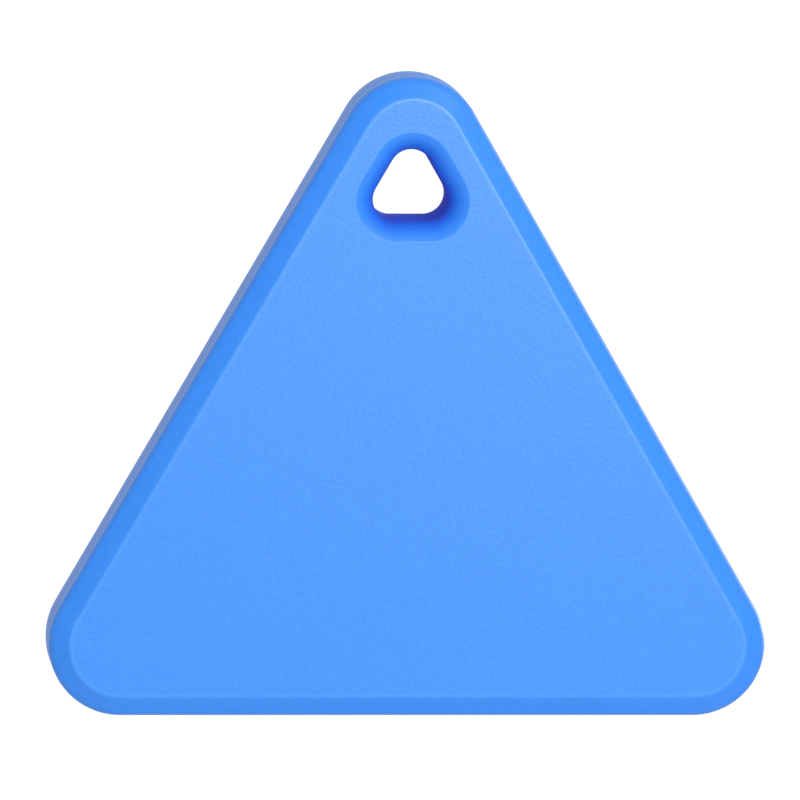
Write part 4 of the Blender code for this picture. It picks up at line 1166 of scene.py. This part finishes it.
def radio(finish):
    """The radio chip with its pads and first-pad dimple, the crystal, and the small parts round them."""
    low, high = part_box("radio_chip")
    chip = block_node("radio_chip", 0.12 * MM, 0.04 * MM, "case", finish["chip_resin"])
    dimple = disc_solid(0.25 * MM, high.y - 0.04 * MM, high.y + 1.0 * MM, 0.02 * MM,
                        low.x + 0.7 * MM, high.z - 0.7 * MM, 32)
    cut(chip, dimple)
    pads = []
    middle_x, middle_z = (low.x + high.x) / 2, (low.z + high.z) / 2
    for step in np.linspace(-2.0, 2.0, 8) * MM:
        for x, z, size_x, size_z in (
            (low.x, middle_z + step, 0.5, 0.25), (high.x, middle_z + step, 0.5, 0.25),
            (middle_x + step, low.z, 0.25, 0.5), (middle_x + step, high.z, 0.25, 0.5),
        ):
            half = Vector((size_x, 0.0, size_z)) * MM / 2
            near = Vector((x, BOARD_BACK_Y, z)) - half
            pads.append(block(near, Vector((x, low.y + 0.2 * MM, z)) + half, 0.04 * MM, 0.015 * MM))
    piece_of("radio_chip_pads", merge(*pads), "case", finish["solder"])
    block_node("crystal", 0.5 * MM, 0.12 * MM, "case", finish["spring_steel"])
    chip_with_ends("inductor", finish["ferrite"], finish)
    for number in range(1, 5):
        chip_with_ends(f"capacitor_{number}", finish["capacitor_ceramic"], finish)
    for number in range(1, 4):
        chip_with_ends(f"resistor_{number}", finish["chip_resin"], finish)


ANTENNA_FINGERS = 7
ANTENNA_PITCH = 1.0 * MM


def antenna(finish):
    """A copper line that runs up and down across the top of the board with rounded turns."""
    low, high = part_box("antenna_trace")
    half = 0.25 * MM
    bottom = low.z + 0.8 * MM + half
    path = [(low.x + half, low.z, 0.0)]
    for finger in range(ANTENNA_FINGERS):
        x = low.x + half + finger * ANTENNA_PITCH
        ends = (bottom, high.z - half) if finger % 2 == 0 else (high.z - half, bottom)
        path += [(x, end, 0.24 * MM) for end in ends]
    del path[1]
    copper = finish["trace_copper"]
    line = ribbon(path, half, low.y, high.y)
    piece_of("antenna_line", line, "case", copper, ["antenna_trace"])


LEAD_RADIUS = 0.22 * MM
WIRE_RADIUS = 0.1 * MM
LEAD_BULGE = 0.5 * MM
SLEEVE_START = 0.1


def lead(node, start, end, bulge, finish):
    """An insulated wire: straight from start to end in X, a smooth step in Y, and a half sine wave in Z."""
    start, end = np.array(start), np.array(end)
    share = np.linspace(0, 1, 48)
    path = start + (end - start) * share[:, None]
    path[:, 1] = start[1] + (end[1] - start[1]) * share**2 * (3 - 2 * share)
    path[:, 2] += bulge * np.sin(math.pi * share)
    sleeve = (share > SLEEVE_START) & (share < 1 - SLEEVE_START)
    colour = node.replace("buzzer_", "")
    tube = skin(swept(path[sleeve], LEAD_RADIUS))
    piece_of(node + "_sleeve", tube, "case", finish[colour], [node])
    wire = skin(swept(path, WIRE_RADIUS, 12))
    piece_of(node + "_wire", wire, "case", finish["solder"])
    joints = [dome_solid(0.45 * MM, BOARD_BACK_Y, 0.45 * MM, end[0], end[2]),
              dome_solid(0.45 * MM, start[1] + LEAD_RADIUS + TOUCH, -0.4 * MM, start[0], start[2])]
    piece_of(node + "_joints", merge(*joints), "case", finish["solder"])


def buzzer(finish):
    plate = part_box("buzzer_plate")
    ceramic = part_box("buzzer_ceramic")
    node_disc("buzzer_plate", 0.03 * MM, "case", finish["buzzer_brass"])
    node_disc("buzzer_ceramic", 0.03 * MM, "case", finish["piezo_ceramic"])
    ceramic_radius = (ceramic[1].x - ceramic[0].x) / 2
    silver = disc_solid(ceramic_radius - 0.5 * MM, ceramic[0].y - INK, ceramic[0].y + INK, 0.01 * MM,
                        BUZZER_X, BUZZER_Z, 64)
    piece_of("buzzer_silver", silver, "case", finish["solder"])
    gap = LEAD_RADIUS + TOUCH
    pad_x = BUZZER_X - BUZZER_RADIUS - 1.5 * MM
    pad_y = BOARD_BACK_Y + gap
    spread = 1.4 * MM
    lead("buzzer_lead_red", (BUZZER_X - ceramic_radius / 2, ceramic[0].y - gap, BUZZER_Z + spread),
         (pad_x, pad_y, BUZZER_Z + spread), LEAD_BULGE, finish)
    lead("buzzer_lead_black",
         (BUZZER_X - (BUZZER_RADIUS + ceramic_radius) / 2, plate[0].y - gap, BUZZER_Z - spread / 2),
         (pad_x, pad_y, BUZZER_Z - spread / 2), -LEAD_BULGE, finish)


def inner_finishes():
    """Every finish inside the case: name, dark and light colour, roughness, grain, depth, metal, stretch."""
    even = (1.0, 1.0, 1.0)
    brushed = (1.0, 1.0, 0.12)
    rows = (
        ("button_blue", BLUE_DARK, BLUE_LIGHT, 0.38, 0.15, 0.004, 0.0, even),
        ("battery_steel", (0.38, 0.38, 0.38), (0.50, 0.50, 0.49), 0.30, 0.08, 0.002, 1.0, brushed),
        ("battery_nickel", (0.44, 0.42, 0.39), (0.56, 0.54, 0.50), 0.28, 0.08, 0.002, 1.0, brushed),
        ("gasket_plastic", (0.015, 0.015, 0.016), (0.03, 0.03, 0.032), 0.55, 0.1, 0.004, 0.0, even),
        ("cathode_paste", (0.01, 0.01, 0.011), (0.035, 0.034, 0.033), 0.9, 0.15, 0.03, 0.0, even),
        ("separator_felt", (0.66, 0.65, 0.62), (0.82, 0.81, 0.78), 0.95, 0.05, 0.02, 0.0, (1.0, 1.0, 0.3)),
        ("lithium_metal", (0.50, 0.51, 0.53), (0.70, 0.71, 0.73), 0.45, 0.3, 0.01, 1.0, even),
        ("holder_plastic", (0.40, 0.40, 0.385), (0.47, 0.47, 0.455), 0.48, 0.12, 0.004, 0.0, even),
        ("contact_nickel", (0.40, 0.38, 0.34), (0.54, 0.52, 0.47), 0.34, 0.06, 0.002, 1.0, (0.1, 1.0, 1.0)),
        ("solder", (0.42, 0.43, 0.44), (0.56, 0.57, 0.58), 0.25, 0.25, 0.008, 1.0, even),
        ("mask_track", (0.012, 0.13, 0.05), (0.016, 0.16, 0.065), 0.3, 0.3, 0.002, 0.0, even),
        ("gold_pad", (0.50, 0.34, 0.13), (0.60, 0.43, 0.19), 0.3, 0.1, 0.002, 1.0, even),
        ("white_ink", (0.42, 0.43, 0.41), (0.50, 0.50, 0.49), 0.6, 0.05, 0.003, 0.0, even),
        ("trace_copper", (0.66, 0.32, 0.18), (0.82, 0.45, 0.28), 0.35, 0.1, 0.003, 1.0, even),
        ("chip_resin", (0.012, 0.012, 0.013), (0.028, 0.028, 0.03), 0.5, 0.05, 0.004, 0.0, even),
        ("ferrite", (0.07, 0.07, 0.075), (0.13, 0.125, 0.12), 0.6, 0.05, 0.005, 0.0, even),
        ("capacitor_ceramic", (0.38, 0.25, 0.14), (0.52, 0.37, 0.22), 0.45, 0.08, 0.002, 0.0, even),
        ("switch_plastic", (0.014, 0.014, 0.015), (0.03, 0.03, 0.032), 0.45, 0.1, 0.004, 0.0, even),
        ("spring_steel", (0.55, 0.55, 0.54), (0.70, 0.70, 0.69), 0.26, 0.06, 0.0015, 1.0, brushed),
        ("plunger_plastic", (0.70, 0.69, 0.66), (0.82, 0.81, 0.78), 0.45, 0.08, 0.003, 0.0, even),
        ("led_plastic", (0.76, 0.76, 0.74), (0.86, 0.86, 0.84), 0.5, 0.06, 0.002, 0.0, even),
        ("led_resin", (0.75, 0.62, 0.12), (0.88, 0.76, 0.22), 0.15, 0.1, 0.001, 0.0, even),
        ("clear_plastic", (0.80, 0.84, 0.87), (0.92, 0.94, 0.95), 0.2, 0.2, 0.002, 0.0, even),
        ("buzzer_brass", (0.66, 0.47, 0.18), (0.80, 0.60, 0.28), 0.32, 0.1, 0.003, 1.0, (0.1, 1.0, 1.0)),
        ("piezo_ceramic", (0.62, 0.60, 0.52), (0.74, 0.72, 0.64), 0.5, 0.1, 0.003, 0.0, even),
        ("lead_red", (0.45, 0.015, 0.01), (0.62, 0.03, 0.02), 0.4, 0.15, 0.004, 0.0, even),
        ("lead_black", (0.012, 0.012, 0.013), (0.03, 0.03, 0.032), 0.42, 0.15, 0.004, 0.0, even),
    )
    made = {}
    for name, dark, light_colour, roughness, grain, depth, metal, stretch in rows:
        lengths = (grain * MM, depth * MM)
        made[name] = moulded(name, dark, light_colour, roughness, *lengths, 9.0, metal, stretch)
    clear = made["clear_plastic"].node_tree.nodes["Principled BSDF"]
    clear.inputs["Transmission Weight"].default_value = 0.7
    made["board_laminate"] = solder_mask()
    return made


MASK_FULL = 0.03 * MM
MASK_END = 0.06 * MM


def solder_mask():
    """Green mask on the board's faces, with the pale laminate showing at its edges.

    The share of mask follows the depth below the nearer face: all mask down to MASK_FULL, none past MASK_END.
    """
    dark, light_green = (0.006, 0.065, 0.024), (0.010, 0.09, 0.034)
    material = moulded("board_laminate", dark, light_green, 0.32, 0.35 * MM, 0.003 * MM)
    tree = material.node_tree
    shader = tree.nodes["Principled BSDF"]
    mask = shader.inputs["Base Color"].links[0].from_socket
    where = tree.nodes.new("ShaderNodeTexCoord").outputs["Object"]
    split = tree.nodes.new("ShaderNodeSeparateXYZ")
    tree.links.new(where, split.inputs[0])
    level = maths(tree, "SUBTRACT", split.outputs["Y"], (BOARD_FRONT_Y + BOARD_BACK_Y) / 2)
    edge = tree.nodes.new("ShaderNodeMapRange")
    half = (BOARD_BACK_Y - BOARD_FRONT_Y) / 2
    edge.inputs["From Min"].default_value = half - MASK_END
    edge.inputs["From Max"].default_value = half - MASK_FULL
    tree.links.new(maths(tree, "ABSOLUTE", level), edge.inputs["Value"])
    fibre = noise(tree, where, 0.2 * MM, 3.0)
    laminate = mixed(tree, fibre, (0.30, 0.27, 0.09, 1.0), (0.46, 0.42, 0.18, 1.0))
    tree.links.new(mixed(tree, edge.outputs["Result"], laminate, mask), shader.inputs["Base Color"])
    return material


# Camera, lights and floor

SOFT_BOXES = (
    ("near_box", (0.045, -0.2, 0.07), 0.08, 0.2),
    ("wide_box", (0.05, -0.6, 0.18), 0.6, 1.1),
    ("key", (0.3, -0.4, 0.4), 0.4, 0.8),
)
BACKDROP_WHITE = 1.05
ROOM_LIGHT = 0.8
FLOOR_RADIUS = 4.0
FLOOR_Z = -0.06
CAMERA_AZIMUTH = math.radians(-4.2)
CAMERA_ELEVATION = math.radians(6.5)
CAMERA_ROLL = math.radians(0.555)
CAMERA_DISTANCE = 1.0
CAMERA_LENS = 644.2
CAMERA_TARGET = (-0.00044, 0.0, 0.02178)


def aim_camera():
    """Sets the camera on a sphere round its target, turned about its own line of sight."""
    data = bpy.data.cameras.new("camera")
    data.lens = CAMERA_LENS
    data.clip_start = 0.01
    data.clip_end = 20.0
    camera = bpy.data.objects.new("camera", data)
    bpy.context.scene.collection.objects.link(camera)
    level = math.cos(CAMERA_ELEVATION)
    aside, ahead = math.sin(CAMERA_AZIMUTH) * level, math.cos(CAMERA_AZIMUTH) * level
    back = Vector((aside, -ahead, math.sin(CAMERA_ELEVATION)))
    camera.location = Vector(CAMERA_TARGET) + back * CAMERA_DISTANCE
    turn = (-back).to_track_quat("-Z", "Y").to_matrix() @ Matrix.Rotation(CAMERA_ROLL, 3, "Z")
    camera.rotation_euler = turn.to_euler()
    bpy.context.scene.camera = camera


def area_light(name, place, target, size, power):
    data = bpy.data.lights.new(name, "AREA")
    data.shape = "DISK"
    data.size = size
    data.energy = power
    light = bpy.data.objects.new(name, data)
    light.location = place
    light.rotation_euler = (Vector(target) - Vector(place)).to_track_quat("-Z", "Y").to_euler()
    light.visible_camera = False
    bpy.context.scene.collection.objects.link(light)


def camera_only(tree, seen, other, output):
    """Links seen for what the camera sees directly, and other for the light it gives."""
    path = tree.nodes.new("ShaderNodeLightPath")
    mix = tree.nodes.new("ShaderNodeMixShader")
    tree.links.new(path.outputs["Is Camera Ray"], mix.inputs[0])
    tree.links.new(other, mix.inputs[1])
    tree.links.new(seen, mix.inputs[2])
    tree.links.new(mix.outputs[0], output)


def room():
    """A white backdrop all round that gives a dimmer, even light."""
    world = bpy.data.worlds.new("room")
    world.use_nodes = True
    tree = world.node_tree
    seen = tree.nodes["Background"]
    seen.inputs["Color"].default_value = (1.0, 1.0, 1.0, 1.0)
    seen.inputs["Strength"].default_value = BACKDROP_WHITE
    light_given = tree.nodes.new("ShaderNodeBackground")
    light_given.inputs["Color"].default_value = (1.0, 1.0, 1.0, 1.0)
    light_given.inputs["Strength"].default_value = ROOM_LIGHT
    output = tree.nodes["World Output"]
    camera_only(tree, seen.outputs[0], light_given.outputs[0], output.inputs["Surface"])
    bpy.context.scene.world = world


def paper_floor():
    """A wide disc of white paper below the tag."""
    outline = ring_outline(FLOOR_RADIUS, 64)[0]
    points = np.stack([outline[:, 0], outline[:, 1], np.full(64, FLOOR_Z)], 1)
    mesh = bpy.data.meshes.new("floor")
    mesh.from_pydata(points, [], [list(range(64))])
    floor = bpy.data.objects.new("floor", mesh)
    bpy.context.scene.collection.objects.link(floor)
    paper = moulded("floor_paper", (0.78, 0.78, 0.78), (0.84, 0.84, 0.84), 0.9, 2.0 * MM, 0.02 * MM)
    tree = paper.node_tree
    shader = tree.nodes["Principled BSDF"]
    output = next(node for node in tree.nodes if node.type == "OUTPUT_MATERIAL")
    white = tree.nodes.new("ShaderNodeEmission")
    white.inputs["Strength"].default_value = BACKDROP_WHITE
    camera_only(tree, white.outputs[0], shader.outputs[0], output.inputs["Surface"])
    mesh.materials.append(paper)


def studio():
    """A dim white room, soft boxes in front, one of them near and high, and a soft light behind."""
    room()
    paper_floor()
    middle = (0.0, 0.0, INRADIUS)
    for name, place, size, power in SOFT_BOXES:
        area_light(name, place, middle, size, power)
    sun = bpy.data.lights.new("back_fill", "SUN")
    sun.energy = 2.0
    sun.angle = math.radians(20)
    fill = bpy.data.objects.new("back_fill", sun)
    fill.rotation_euler = Vector((-0.75, -0.65, 0.0)).to_track_quat("-Z", "Y").to_euler()
    bpy.context.scene.collection.objects.link(fill)
    bpy.context.scene.view_settings.view_transform = "Standard"


aim_camera()
studio()
shell_finish = shell_plastic("shell_blue_grain", BLUE_DARK, BLUE_LIGHT, 0.25 * MM, 0.022 * MM)
front_shell(shell_finish)
back_shell(shell_finish)
finishes = inner_finishes()
coin_cell(finishes)
button(finishes)
light(finishes)
push_switch(finishes)
circuit_board(finishes)
battery_holder(finishes)
contacts(finishes)
radio(finishes)
antenna(finishes)
buzzer(finishes)
